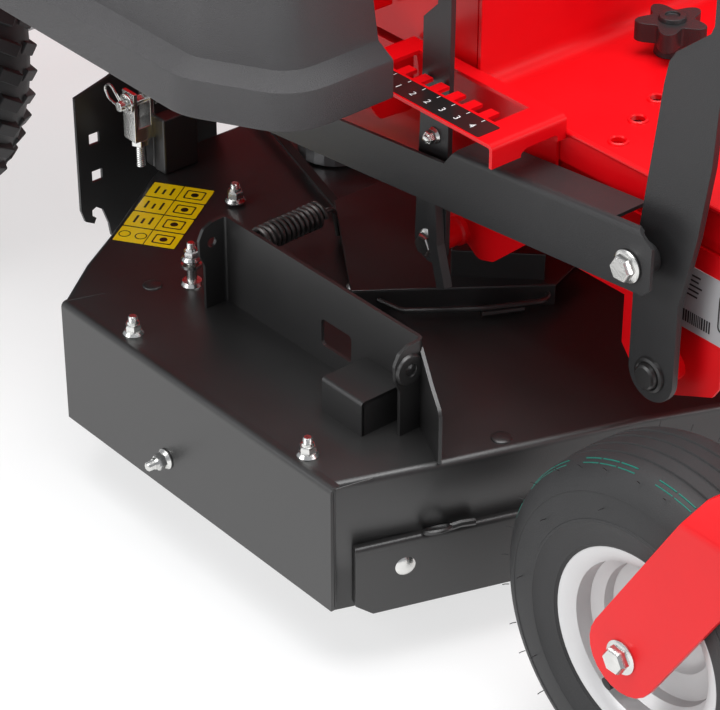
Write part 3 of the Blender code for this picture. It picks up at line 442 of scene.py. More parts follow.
def deck_outline():
    right = [(0.0, 0.735), (-0.310, 0.735), (-0.360, 0.710), (-0.446, 0.652), (-0.490, 0.625),
             (-0.5387, 0.588), (-0.5387, 0.2495), (-0.460, 0.219), (-0.299, 0.163), (-0.235, 0.135),
             (-0.160, 0.122), (0.0, 0.118)]
    points = [Vector((x, FY + y)) for x, y in right]
    return points + [Vector((-p[0], p[1])) for p in reversed(points[1:-1])]


def deck_shell():
    """Pressed shell with a rounded upper edge, open below."""
    outline = deck_outline()
    bm = bmesh.new()
    rings = []
    steps = [(0, 0.057)] + [(0.006 * (1 - math.cos(a)), DECK_TOP - 0.006 * (1 - math.sin(a)))
                            for a in [math.radians(15 * i) for i in range(7)]]
    for inset, z in steps:
        rings.append([bm.verts.new((*p, z)) for p in offset(outline, inset)])
    count = len(outline)
    for one, two in zip(rings, rings[1:]):
        for i in range(count):
            bm.faces.new((one[i], one[(i + 1) % count], two[(i + 1) % count], two[i]))
    bm.faces.new(rings[-1])
    deck = piece("deck_top_shell", bm, BLACK, "deck", ["deck_shell"])
    solid = deck.modifiers.new("thickness", "SOLIDIFY")
    solid.thickness = 0.003
    solid.offset = -1
    housings = []
    for side in (RIGHT, LEFT):
        centre = (side * 0.262, FY + 0.43, 0)
        housings.append(lathe([(0.014, 0.112), (0.034, 0.112), (0.038, 0.117), (0.040, 0.150),
                               (0.062, 0.164), (0.075, 0.1695), (0.075, 0.1725), (0.042, 0.1745),
                               (0.014, 0.1745)], centre))
    piece("spindle_housings", gather(*housings), ALUMINIUM, "deck", bevel=0.001)
    ridges = []
    for side in (RIGHT, LEFT):
        for a, b in (((0.5385, 0.5855), (0.5067, 0.5752)), ((0.5385, 0.2440), (0.5080, 0.2375))):
            start = Vector((side * a[0], FY + a[1], DECK_TOP - 0.0001))
            end = Vector((side * b[0], FY + b[1], DECK_TOP - 0.0006))
            ridges.append(sweep([start, (start + end) / 2 + Vector((0, 0, 0.0002)), end], 0.0007, 8))
    x, y = -0.5372, FY + 0.2470
    ridges.append(sweep([(x, y, 0.062), (x, y, DECK_TOP - 0.004)], 0.0009, 8))
    piece("deck_corner_welds", gather(*ridges), BLACK, "deck")


def discharge_cover():
    """Right side panel with its rounded fold onto the deck top."""
    profile = ribbon([(-0.5405, 0.060), (-0.5405, DECK_TOP - 0.0014), (-0.5325, DECK_TOP - 0.0014)], 0.003,
                     0.0055, 8)
    cover = prism([profile], "y", FY + 0.2455, FY + 0.5870)
    piece("side_cover", cover, BLACK, "deck", ["discharge_cover"], bevel=0.0005)


def front_baffle():
    """Tray-like lower plate lapped over the right front skirt, with a folded lip and a wire eye."""
    start, end = Vector((-0.5240, FY + 0.2420)), Vector((-0.3050, FY + 0.1650))
    along = (end - start).normalized()
    out = Vector((along[1], -along[0]))
    length = (end - start).length
    world = Matrix(((along[0], 0, -out[0], start[0]), (along[1], 0, -out[1], start[1]), (0, 1, 0, 0),
                    (0, 0, 0, 1)))
    face = prism([[(0.0, 0.0625), (0.014, 0.0520), (length, 0.0520), (length, 0.1110), (0.0, 0.1110)]],
                 "z", -0.0068, -0.0042)
    lip = prism([ribbon([(-0.0055, 0.1080), (-0.0055, 0.1140), (0.0005, 0.1140)], 0.0026, 0.0030)], "z", 0,
                length)
    lip.transform(Matrix(((0, 0, 1, 0), (0, 1, 0, 0), (1, 0, 0, 0), (0, 0, 0, 1))))
    side = block((-0.0004, 0.0640, -0.0060), (0.0022, 0.1130, 0.0010))
    bm = gather(face, lip, side)
    bm.transform(world)
    piece("lower_baffle", bm, BLACK, "deck", ["front_baffle"], bevel=0.0008)
    middle, across = Vector((-0.4635, FY + 0.2150, 0.1165)), Vector((*along, 0))
    front = Vector((*out, 0))
    eye = [middle + across * 0.0105 * math.cos(a) + (front * 0.0050 + Vector((0, 0, 0.0020))) * math.sin(a)
           for a in [2 * math.pi * i / 28 for i in range(28)]]
    tail = [middle + across * 0.0100, middle + across * 0.018 + Vector((0, 0, 0.001)),
            middle + across * 0.030]
    piece("baffle_wire_eye", gather(sweep(eye, 0.0021, 8, True), sweep(tail, 0.0030, 8)), BLACK, "deck")


def chute_bracket():
    """Folded plate with an ear at each end, a small step and a gusset."""
    x, front, rear = -0.4355, FY + 0.267, FY + 0.5045
    low, high = DECK_TOP, 0.2505
    plan = ribbon([(-0.4660, rear), (x, rear), (x, front), (-0.4660, front)], 0.003, 0.0045)
    body = prism([plan], "z", low, high)
    ear = [(-0.4580, low - 0.01), (-0.4580, 0.2120), (-0.4625, 0.2220), (-0.4632, 0.2360),
           (-0.4585, 0.2450), (-0.4500, 0.2490), (x + 0.010, 0.2505), (x + 0.010, low - 0.01)]
    ear = prism([ring_of(ear, 0.006), circle((-0.4505, 0.2310), 0.0044)], "y", FY + 0.20, FY + 0.56)
    body = common(body, ear)
    window = ring_of([(FY + 0.347, 0.188), (FY + 0.383, 0.188), (FY + 0.383, 0.212), (FY + 0.347, 0.212)],
                     0.004)
    body = cut(body, prism([window], "x", -0.50, -0.40))
    step = prism([ribbon([(-0.4790, low), (-0.4790, 0.2010), (x, 0.2010)], 0.0026, 0.0022)], "y",
                 FY + 0.2835, FY + 0.3300)
    face = block((-0.4795, FY + 0.2835, low), (x, FY + 0.2858, 0.2010))
    start, end = Vector((x, FY + 0.268)), Vector((-0.4590, FY + 0.2190))
    length = (end - start).length
    along = (end - start).normalized()
    gusset = prism([[(0, low), (length, low), (length, 0.2130), (length - 0.0035, 0.2180),
                     (length * 0.55, 0.2260), (0.0, 0.2410)]], "z", -0.0014, 0.0014)
    gusset.transform(Matrix(((along[0], 0, -along[1], start[0]), (along[1], 0, along[0], start[1]),
                             (0, 1, 0, 0), (0, 0, 0, 1))))
    lobe = lathe([(0.0052, -0.0030), (0.0120, -0.0030), (0.0132, 0), (0.0120, 0.0030), (0.0052, 0.0030)],
                 (-0.4495, FY + 0.2660, 0.2285), (0, 1, 0), 30)
    piece("chute_hinge_bracket", gather(body, step, face, gusset), BLACK, "deck", ["chute_bracket"],
          bevel=0.0008)
    piece("chute_hinge_eye", lobe, BLACK, "deck", bevel=0.0006)


def belt_cover(side, suffix):
    """Low folded cover with a taller box and a wire handle."""
    high = 0.192
    edge = [(0.373, 0.424), (0.312, 0.379), (0.240, 0.326)]
    top = [(side * x, FY + y) for x, y in edge + [(0.185, 0.345), (0.185, 0.545), (0.290, 0.545)]]
    parts = [prism([top], "z", high - 0.002, high)]
    for (x1, y1), (x2, y2) in zip(edge, edge[1:]):
        one, two = Vector((side * x1, FY + y1)), Vector((side * x2, FY + y2))
        inward = Vector((-(two - one)[1], (two - one)[0])).normalized()
        inward = inward if inward[1] > 0 else -inward
        quad = [tuple(one), tuple(two), tuple(two + inward * 0.002), tuple(one + inward * 0.002)]
        parts.append(prism([quad], "z", DECK_TOP, high - 0.001))
    box = [(side * x, FY + y) for x, y in ((0.2965, 0.390), (0.2430, 0.336), (0.200, 0.380),
                                           (0.251, 0.430))]
    parts.append(prism([box], "z", high - 0.002, 0.216))
    piece("cover_" + suffix, gather(*parts), BLACK, "deck", ["belt_cover_" + suffix], bevel=0.0010)
    a, b = Vector((side * 0.352, FY + 0.386, 0.183)), Vector((side * 0.252, FY + 0.322, 0.183))
    route = fillet([(side * 0.356, FY + 0.410, 0.183), a, a.lerp(b, 0.5) + Vector((0, -0.006, 0)), b,
                    (side * 0.232, FY + 0.345, 0.183), (side * 0.232, FY + 0.372, 0.190)], 0.012)
    piece("cover_wire_" + suffix, sweep(route, 0.0024, 10), BLACK, "deck")
    brace = sweep([(side * 0.300, FY + 0.349, 0.1775), (side * 0.268, FY + 0.3335, 0.1775)], 0.0036, 10)
    piece("cover_latch_" + suffix, brace, BLACK, "deck")


def coil_spring():
    """Extension spring beside the chute bracket, with its hook."""
    turns, start, end = 12.5, Vector((-0.394, FY + 0.514, 0.2065)), Vector((-0.330, FY + 0.516, 0.2065))
    points = []
    count = int(turns * 20)
    for i in range(count + 1):
        t, a = i / count, 2 * math.pi * turns * i / count
        points.append(start.lerp(end, t) + Vector((0, 0.0096 * math.cos(a), 0.0096 * math.sin(a))))
    piece("coil_spring", sweep(points, 0.0021, 8), SPRING, "deck", ["deck_spring"])
    hook = sweep(fillet([(-0.330, FY + 0.516, 0.2065), (-0.318, FY + 0.516, 0.2065),
                         (-0.310, FY + 0.520, 0.200), (-0.306, FY + 0.520, 0.176)], 0.006), 0.0021, 8)
    piece("spring_hook", hook, SPRING, "deck")


def rear_hanger():
    """Clevis, adjusting bolt, pin and hair pin at the rear of the deck."""
    x, y = -0.362, FY + 0.722
    yoke = cut(block((x - 0.0105, y - 0.0085, 0.205), (x + 0.0105, y + 0.0085, 0.252)),
               block((x - 0.0065, y - 0.02, 0.218), (x + 0.0065, y + 0.02, 0.26)))
    thread = [(0, 0.176)]
    for i in range(14):
        z = 0.177 + 0.0020 * i
        thread += [(0.0044, z), (0.0038, z + 0.001)]
    rod = lathe(thread + [(0.0044, 0.206), (0, 0.206)], (x, y, 0), steps=18)
    nut = lathe([(0, 0.1985), (0.0085, 0.1985), (0.0085, 0.2045), (0, 0.2045)], (x, y, 0), steps=6)
    pin = lathe([(0, -0.021), (0.0045, -0.021), (0.0045, 0.014), (0.0085, 0.014), (0.0085, 0.018),
                 (0, 0.018)], (x, y, 0.241), (1, 0, 0), 20)
    washer = lathe([(0.0046, -0.0135), (0.0095, -0.0135), (0.0095, -0.0110), (0.0046, -0.0110)],
                   (x, y, 0.241), (1, 0, 0), 24)
    piece("hanger_clevis", gather(yoke, rod, nut, pin, washer), ZINC, "deck", ["rear_hanger"], bevel=0.0005)
    clip = [(x - 0.0165, y - 0.010, 0.2405), (x - 0.0165, y + 0.004, 0.2440),
            (x - 0.0170, y + 0.016, 0.2560), (x - 0.0170, y + 0.026, 0.2500),
            (x - 0.0165, y + 0.020, 0.2400), (x - 0.0165, y + 0.006, 0.2375)]
    piece("hanger_hair_pin", sweep(fillet(clip, 0.006), 0.0011, 8), ZINC, "deck")
    block_lug = block((x + 0.0110, y - 0.0045, DECK_TOP), (x + 0.0150, y + 0.0085, 0.2250))
    piece("hanger_lug", gather(block_lug, block((-0.352, FY + 0.700, DECK_TOP),
                                                (-0.315, FY + 0.716, 0.226))), BLACK, "deck", bevel=0.002)


def decal_cell(low, high, shape):
    """Generic printed figures made of bars, rings and frames."""
    width, height = high[0] - low[0], high[1] - low[1]
    centre = ((low[0] + high[0]) / 2, (low[1] + high[1]) / 2)
    line = 0.0010
    if shape == "frame":
        outer = ring_of([(low[0] + width * 0.18, low[1] + height * 0.2),
                         (high[0] - width * 0.18, low[1] + height * 0.2),
                         (high[0] - width * 0.18, high[1] - height * 0.2),
                         (low[0] + width * 0.18, high[1] - height * 0.2)], 0.002)
        inner = [(centre[0] + (u - centre[0]) * 0.86, centre[1] + (v - centre[1]) * 0.80) for u, v in outer]
        return [[outer, inner], [circle(centre, height * 0.14)]]
    if shape == "rings":
        return [[circle((centre[0] + s * height * 0.30, centre[1]), height * 0.22),
                 circle((centre[0] + s * height * 0.30, centre[1]), height * 0.22 - line)] for s in (-1, 1)]
    bars = []
    for i in range(3):
        u = centre[0] + (i - 1) * height * 0.28
        bars.append([[(u - line, centre[1] - height * 0.25), (u + line, centre[1] - height * 0.25),
                      (u + line, centre[1] + height * 0.25 * (1 if i != 1 else 0.4)),
                      (u - line, centre[1] + height * 0.25 * (1 if i != 1 else 0.4))]])
    return bars


def deck_label():
    """Yellow label of four rows, printed with plain figures."""
    corner, right, up = Vector((-0.4530, FY + 0.640)), Vector((-0.4230,
                                                               FY + 0.594)), Vector((-0.3690, FY + 0.702))
    across, along = right - corner, up - corner
    width, length = across.length, along.length
    u, v = across.normalized(), along.normalized()
    v = (v - u * u.dot(v)).normalized()
    place = Matrix(((u[0], v[0], 0, corner[0]), (u[1], v[1], 0, corner[1]), (0, 0, 1, DECK_TOP),
                    (0, 0, 0, 1)))
    rows = 4
    yellow, black = [], []
    for i in range(rows):
        low, high = length * i / rows + 0.0009, length * (i + 1) / rows - 0.0009
        yellow.append(prism([ring_of([(0, low), (width, low), (width, high), (0, high)], 0.0012)], "z",
                            0.0002, 0.0004))
        split = width * 0.50
        black.append(prism([[(split - 0.0004, low), (split + 0.0004, low), (split + 0.0004, high),
                             (split - 0.0004, high)]], "z", 0.0003, 0.0005))
        for one, two, shape in ((0, split, ("rings", "bars", "bars", "bars")[i]), (split, width, "frame")):
            for loops in decal_cell((one, low), (two, high), shape):
                black.append(prism(loops, "z", 0.0003, 0.0005))
    for name, parts, material in (("deck_label", yellow, YELLOW), ("deck_label_print", black, PRINT)):
        bm = gather(*parts)
        bm.transform(place)
        piece(name, bm, material, "deck")
    backing = prism([[(-0.0006, 0.0002), (width + 0.0006, 0.0002), (width + 0.0006, length),
                      (-0.0006, length)]], "z", 0.0001, 0.0003)
    backing.transform(place)
    piece("deck_label_backing", backing, PRINT, "deck")


# ---- frame, pan and gate --------------------------------------------------------------------
def recolour(materials):
    """Give CAD nodes that keep their shape a procedural finish."""
    for material, names in materials:
        for name in names:
            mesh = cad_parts[name].data
            mesh.materials.clear()
            mesh.materials.append(material)
            mesh.shade_smooth()
            mesh.set_sharp_from_angle(angle=math.radians(32))


def floor_pan():
    """Folded pan with extruded grip holes and a riser behind."""
    front, wall = -0.86, FY + 0.359
    profile = ribbon([(front + 0.0015, PAN_Z + 0.015), (front + 0.0015, PAN_Z - 0.0015),
                      (wall + 0.0015, PAN_Z - 0.0015), (wall + 0.0015, 0.500)], 0.003, 0.016, 10)
    pan = prism([profile], "x", -PAN_HALF, PAN_HALF)
    holes = []
    across, back = Vector((-0.0350, -0.0146)), Vector((0.0, -0.064))
    for side in (RIGHT, LEFT):
        for row in range(4):
            for column in range(-1, 3):
                spot = Vector((-0.2090, FY + 0.2580)) + across * column + back * row
                spot += Vector((0.0175, 0.006)) * (row % 2)
                if -0.288 < spot[0]:
                    holes.append(Vector((spot[0] * -side, spot[1])))
    tools = gather(*[prism([circle(tuple(h), 0.0062, 14)], "z", 0.36, 0.39) for h in holes])
    pan = cut(pan, tools)
    sides = []
    for side in (RIGHT, LEFT):
        low, high = sorted((side * PAN_HALF, side * 0.2954))
        sides.append(block((low, FY - 0.070, 0.350), (high, wall + 0.001, PAN_Z - 0.0012)))
    piece("floor_panel", gather(pan, *sides), RED, "chassis", ["floor_pan"], bevel=0.0012)
    collars = [lathe([(0.0060, -0.003), (0.0086, -0.001), (0.0078, 0.0016), (0.0064, 0.0022),
                      (0.0055, 0.0010)], (h[0], h[1], PAN_Z), steps=24) for h in holes]
    piece("grip_hole_collars", gather(*collars), RED, "chassis")
    edge = [sweep([(side * 0.2975, FY - 0.070, 0.3755), (side * 0.2975, wall - 0.016, 0.3755)], 0.0022, 10)
            for side in (RIGHT, LEFT)]
    piece("pan_edge_beads", gather(*edge), RED, "chassis")


def height_gate():
    """Notched plate with a folded front lip, a rear gusset and the side plate."""
    outer, inner, front, rear = -0.3740, -0.2990, FY + 0.263, FY + 0.435
    top = GATE_Z
    profile = ribbon([(front + 0.0015, top - 0.019), (front + 0.0015, top - 0.0015), (rear, top - 0.0015)],
                     0.003, 0.0040)
    gate = prism([profile], "x", outer, inner)
    pitch, tooth = 0.0185, 0.0095
    slot = [(-0.312, FY + 0.290), (-0.347, FY + 0.290)]
    for i in range(6):
        y = FY + 0.298 + i * pitch
        slot += [(-0.347, y), (-0.3345, y), (-0.3345, y + tooth), (-0.347, y + tooth)]
    slot += [(-0.347, FY + 0.414), (-0.312, FY + 0.414)]
    gate = cut(gate, prism([slot], "z", top - 0.010, top + 0.01),
               prism([[(outer - 0.01, FY + 0.405), (-0.352, rear + 0.002), (outer - 0.01, rear + 0.01)]],
                     "z", top - 0.03, top + 0.01))
    notch = ring_of([(-0.3450, top - 0.030), (-0.3450, top - 0.0160), (-0.3390, top - 0.0130),
                     (-0.3080, top - 0.0130), (-0.3080, top - 0.030)], 0.003)
    gate = cut(gate, prism([notch], "y", front - 0.01, front + 0.01))
    side = ring_of([(FY + 0.270, top - 0.001), (FY + 0.270, 0.290), (FY + 0.335, 0.232),
                    (FY + 0.352, 0.227), (FY + 0.366, 0.236), (FY + 0.388, 0.243), (FY + 0.412, 0.280),
                    (FY + 0.430, top - 0.001)], 0.010)
    gusset = prism([ring_of([(-0.3700, top - 0.002), (-0.3440, 0.3430), (-0.3360, 0.3310),
                             (-0.3020, 0.3290),
                             (-0.302, top - 0.002)], 0.006)], "y", FY + 0.4315, FY + 0.4345)
    boss = lathe([(0, 0.300), (0.0125, 0.300), (0.0125, 0.306), (0.011, 0.308), (0.011, 0.3277),
                  (0, 0.3277)], (0, FY + 0.375, 0.244), (-1, 0, 0), 30)
    piece("height_gate_plate", gather(gate, prism([side], "x", -0.3018, -0.2988), gusset, boss), RED,
          "chassis", ["height_gate"], bevel=0.0012)
    strip = ring_of([(-0.3725, FY + 0.2800), (-0.3500, FY + 0.2800), (-0.3500, FY + 0.4030),
                     (-0.3725, FY + 0.4030)], 0.002)
    piece("gate_scale", prism([strip], "z", top, top + 0.0003), PRINT, "chassis")
    marks = []
    for i, number in enumerate(("4", "3", "3", "2", "2", "1", "1")):
        y = FY + 0.2960 + i * 0.0165
        text = bpy.data.curves.new("mark", "FONT")
        text.body = number
        text.size = 0.0085
        text.align_x = text.align_y = "CENTER"
        text.extrude = 0.00008
        obj = bpy.data.objects.new("mark", text)
        bpy.context.scene.collection.objects.link(obj)
        quarter_turn = Matrix.Rotation(math.radians(-90), 4, "Z")
        obj.matrix_world = Matrix.Translation((-0.3640, y, top + 0.0004)) @ quarter_turn
        marks.append(evaluated(obj))
        bpy.data.objects.remove(obj)
        marks.append(block((-0.3545, y - 0.0003, top + 0.0003), (-0.3510, y + 0.0003, top + 0.00045)))
    piece("gate_scale_numbers", gather(*marks), WHITE, "chassis")


def data_plate():
    """Silver label on the side of the frame, with plain bars."""
    x = -0.2986
    y1, y2, z1, z2 = FY + 0.1430, FY + 0.0500, 0.2680, 0.3215
    plate = ring_of([(y1, z1), (y2, z1), (y2, z2), (y1, z2)], 0.003)
    piece("data_plate", prism([plate], "x", x - 0.0004, x + 0.0030), PLATE_GREY, "chassis")
    bars = []
    generator = random.Random(4)
    for i in range(5):
        z = z2 - 0.006 - i * 0.0042
        end = y1 - 0.020 - 0.012 * generator.random()
        bars.append(block((x - 0.0006, y1 - 0.006, z), (x - 0.0003, end, z - 0.0014)))
    y = y1 - 0.006
    while y > y1 - 0.034:
        width = 0.0006 + 0.0010 * generator.random()
        bars.append(block((x - 0.0006, y, z1 + 0.016), (x - 0.0003, y - width, z1 + 0.006)))
        y -= width + 0.0010
    outer = ring_of([(y1 - 0.042, z1 + 0.012), (y2 + 0.008, z1 + 0.012), (y2 + 0.008, z2 - 0.010),
                     (y1 - 0.042, z2 - 0.010)], 0.005)
    middle = Vector((sum(p[0] for p in outer), sum(p[1] for p in outer))) / len(outer)
    inner = [tuple(middle + (Vector(p) - middle) * 0.94) for p in outer]
    bars.append(prism([outer, inner], "x", x - 0.0006, x - 0.0003))
    piece("data_plate_print", gather(*bars), PRINT, "chassis")


# ---- lift linkage ---------------------------------------------------------------------------
def linkage():
    """Channel, pedal arm and height lever with rounded folds."""
    def line(y, height):
        return 0.313 - 0.10 * (y - FY - 0.13) + height

    front, step, rear = FY + 0.127, FY + 0.335, FY + 0.625
    section = ribbon([(-0.3435, 0.0), (-0.3435, 0.0515), (-0.3095, 0.0515)], 0.003, 0.0045)
    beam = prism([section], "y", front, rear)
    beam.transform(Matrix.Translation((0, 0, 0.313 + 0.10 * (FY + 0.13)))
                   @ Matrix(((1, 0, 0, 0), (0, 1, 0, 0), (0, -0.10, 1, 0), (0, 0, 0, 1))))
    web = [(front, line(front, 0.006)), (front + 0.007, line(front, -0.001)), (rear, line(rear, -0.001)),
           (rear, line(rear, 0.038)), (step + 0.012, line(step, 0.038)), (step, line(step, 0.054)),
           (front + 0.020, line(front, 0.054)), (front, line(front, 0.040))]
    beam = common(beam, prism([web], "x", -0.40, -0.30))
    beam = cut(beam, block((-0.3400, FY + 0.05, 0.30), (-0.30, FY + 0.168, 0.42)))
    pin = (0, FY + 0.149, 0.331)
    boss = lathe([(0, 0.3225), (0.0105, 0.3225), (0.0125, 0.3245), (0.0125, 0.3420), (0, 0.3420)], pin,
                 (-1, 0, 0), 32)
    piece("lift_channel_beam", gather(beam, boss), CHARCOAL, "lift_link", ["lift_channel"], bevel=0.0009)
    half, y, z = 0.0225, FY + 0.142, 0.232
    outline = [(y + half, z), (FY + 0.1645, 0.330), (FY + 0.1475, 0.470), (FY + 0.1440, 0.488),
               (FY + 0.1380, 0.4975), (FY + 0.1080, 0.5220), (FY + 0.1050, 0.5290), (FY + 0.1050, 0.590),
               (FY + 0.0850, 0.590), (FY + 0.0850, 0.5080), (FY + 0.0920, 0.4930), (FY + 0.0950, 0.4700),
               (FY + 0.0975, 0.4225), (FY + 0.1060, 0.362), (y - half, 0.300), (y - half, z)]
    arm = prism([outline + arc((y, z), half, 180, 360, 16)[1:-1]], "x", -0.322, -0.316)
    rod = lathe([(0, 0), (0.0090, 0), (0.0090, 0.058), (0.0075, 0.060), (0, 0.060)],
                (-0.318, FY + 0.090, 0.580), (1, 0, 0), 24)
    piece("pedal_arm", gather(arm, rod), CHARCOAL, "lift_pedal", ["lift_pedal_arm"], bevel=0.0010)
    weld = lathe([(0, 0), (0.0145, 0), (0.0140, 0.0025), (0.0118, 0.0034), (0.0104, 0.0026),
                  (0.0098, 0.0062), (0.0082, 0.0076), (0, 0.0078)], (-0.322, y, z), (-1, 0, 0), 40)
    piece("pedal_pivot_weld", weld, BLACK, "lift_pedal")
    lever_y, lever_z = FY + 0.375, 0.244
    shape = [(FY + 0.3555, 0.395), (FY + 0.3550, 0.440), (FY + 0.3550, 0.536), (FY + 0.3700, 0.536),
             (FY + 0.3700, 0.452), (FY + 0.3860, 0.436),
             (FY + 0.3865, 0.395)] + arc((lever_y, lever_z), 0.018, 0, -180, 14)
    stiff = prism([ribbon([(FY + 0.352, 0.215), (FY + 0.362, 0.250), (FY + 0.366, 0.300)], 0.010, 0.01)],
                  "x", -0.3415, -0.3330)
    piece("height_lever_bar", gather(prism([shape], "x", -0.333, -0.328), stiff), CHARCOAL, "lever",
          ["height_lever"], bevel=0.0009)


# ---- casters --------------------------------------------------------------------------------
def caster_fork(side, suffix):
    """Strap bent over the wheel, with leaning arms and a swivel stem."""
    cx, thick, pivot = side * CASTER_X, 0.006, FY - 0.105
    section = ribbon([(cx - 0.0525, 0.08), (cx - 0.0525, 0.276), (cx - 0.028, 0.3225), (cx + 0.028, 0.3225),
                      (cx + 0.0525, 0.276), (cx + 0.0525, 0.08)], thick, 0.012)
    strap = prism([section], "y", FY - 0.20, FY + 0.06)
    lean = math.atan2(0.105, 0.180)
    up, half = Vector((-math.sin(lean), math.cos(lean))), 0.0318
    across = Vector((up[1], -up[0]))
    centre = Vector((FY, CASTER_R))
    outline = [tuple(centre + up * -half * math.cos(a) + across * half * math.sin(a))
               for a in [math.radians(-90 + 15 * i) for i in range(13)]]
    outline += [tuple(centre + up * 0.165 + across * half), (pivot + 0.030, 0.3155), (pivot + 0.030, 0.34),
                (pivot - 0.034, 0.34), (pivot - 0.034, 0.3155), tuple(centre + up * 0.165 - across * half)]
    strap = common(strap, prism([outline], "x", cx - 0.1, cx + 0.1))
    piece("fork_strap_" + suffix, strap, RED, "fork_" + suffix, ["caster_fork_" + suffix], bevel=0.0012)
    stem = lathe([(0, 0.318), (0.0127, 0.318), (0.0127, 0.4105), (0.0195, 0.4105), (0.0195, 0.4175),
                  (0.010, 0.4195), (0.004, 0.4200), (0.004, 0.426), (0, 0.427)], (cx, pivot, 0), steps=32)
    axle = lathe([(0, -0.055), (0.0090, -0.055), (0.0090, 0.055), (0, 0.055)], (cx, FY, CASTER_R),
                 (1, 0, 0), 24)
    piece("fork_stem_" + suffix, gather(stem, axle), ZINC, "fork_" + suffix)


def caster_wheel(side, suffix):
    """Small pneumatic tyre with fine ribs on a stepped rim."""
    centre, radius, half, bead = (side * CASTER_X, FY, CASTER_R), CASTER_R, 0.0475, 0.067
    groove = 0.0013
    shoulder = [(bead, half * 0.74), (bead + 0.004, half * 0.84), (bead + 0.012, half * 0.91),
                (bead + 0.0125, half * 0.925), (bead + 0.0145, half * 0.93), (bead + 0.022, half * 0.97),
                (bead + 0.030, half), (bead + 0.0305, half + 0.0005), (bead + 0.0325, half + 0.0005),
                (bead + 0.033, half), (bead + 0.043, half * 0.985), (bead + 0.052, half * 0.945),
                (bead + 0.0525, half * 0.955), (bead + 0.0545, half * 0.945), (bead + 0.0605, half * 0.88),
                (bead + 0.0665, half * 0.77), (radius - 0.0032, half * 0.66),
                (radius - 0.0014, half * 0.52)]
    tread = []
    for along in (0.40, 0.14, -0.14, -0.40):
        a, drop = half * along, 0.0016 * along * along * 4
        tread += [(radius - drop, a + 0.0016), (radius - drop - groove, a + 0.0009),
                  (radius - drop - groove, a - 0.0009), (radius - drop, a - 0.0016)]
    profile = shoulder + tread + [(r, -a) for r, a in reversed(shoulder)]
    profile += [(bead + 0.006, -half * 0.50), (radius - 0.014, -half * 0.55), (radius - 0.014, half * 0.55),
                (bead + 0.006, half * 0.50)]
    piece("front_tyre_" + suffix, lathe(profile, centre, (1, 0, 0), 96), TYRE, "caster_" + suffix,
          ["caster_tyre_" + suffix])
    marks = []
    for along in (-0.70, -0.62):
        for i in range(48):
            if i % 4 == 3:
                continue
            a = [2 * math.pi * (i + t) / 48 for t in (0.0, 0.5, 0.9)]
            r = radius - 0.0040 + (0.0013 if along > -0.66 else -0.0006)
            x = centre[0] + half * along
            marks.append(sweep([(x, FY + r * math.cos(t), radius + r * math.sin(t)) for t in a], 0.0007, 4))
    piece("tyre_marks_" + suffix, gather(*marks), TEAL, "caster_" + suffix)
    hairs = []
    generator = random.Random(7)
    for side_of in (-1, 1):
        for i in range(30):
            a = 2 * math.pi * (i + 0.3 * generator.random()) / 30
            out = Vector((0, math.cos(a), math.sin(a)))
            for r, x, lean_x in ((0.1335, half * 0.80, 0.5), (0.109, half * 0.99, 1.0)):
                if lean_x > 0.9 and i % 3:
                    continue
                base = Vector(centre) + out * r + Vector((side_of * x, 0, 0))
                lean = out * (1 - lean_x * 0.8) + Vector((side_of * lean_x, 0, 0))
                tip = base + lean.normalized() * 0.005
                hairs.append(sweep([base, base.lerp(tip, 0.6), tip + Vector((0, 0, -0.0006))], 0.00035, 4))
    piece("tyre_hairs_" + suffix, gather(*hairs), TYRE, "caster_" + suffix)
    flange = half * 0.90
    rim = [(bead + 0.0100, flange - 0.004), (bead + 0.0115, flange - 0.001), (bead + 0.0095, flange),
           (bead + 0.003, flange - 0.0015), (bead - 0.003, flange - 0.006), (bead - 0.004, flange * 0.55),
           (bead - 0.012, flange * 0.42), (bead - 0.013, 0.010), (bead - 0.020, 0.006), (0.036, 0.005),
           (0.031, 0.009), (0.0235, 0.011), (0.0225, 0.036), (0.0200, 0.038), (0.0095, 0.038)]
    rim += [(r, -a) for r, a in reversed(rim)]
    rim = rim[:len(rim) // 2] + [(0.0095, -0.038), (0.0225, -0.036), (0.0235, 0.004), (0.036, 0.001),
                                 (bead - 0.018, 0.002), (bead - 0.015, -flange * 0.42),
                                 (bead - 0.006, -flange * 0.50), (bead - 0.003, -flange + 0.006),
                                 (bead + 0.003, -flange + 0.0015), (bead + 0.0095, -flange),
                                 (bead + 0.0115, -flange + 0.001), (bead - 0.0008, -flange + 0.008),
                                 (bead - 0.0008, flange - 0.008)]
    piece("front_rim_" + suffix, lathe(rim, centre, (side, 0, 0), 72), SILVER, "caster_" + suffix,
          ["caster_rim_" + suffix])
    a = math.radians(-62)
    foot = Vector((centre[0] + side * 0.010, FY + 0.046 * math.cos(a), radius + 0.046 * math.sin(a)))
    valve = lathe([(0, 0), (0.0065, 0), (0.0060, 0.004), (0.0042, 0.012), (0.0040, 0.024), (0.0050, 0.0245),
                   (0.0050, 0.033), (0, 0.034)], foot, (side, 0.25 * math.cos(a), 0.25 * math.sin(a)), 18)
    piece("valve_" + suffix, valve, RUBBER, "caster_" + suffix)


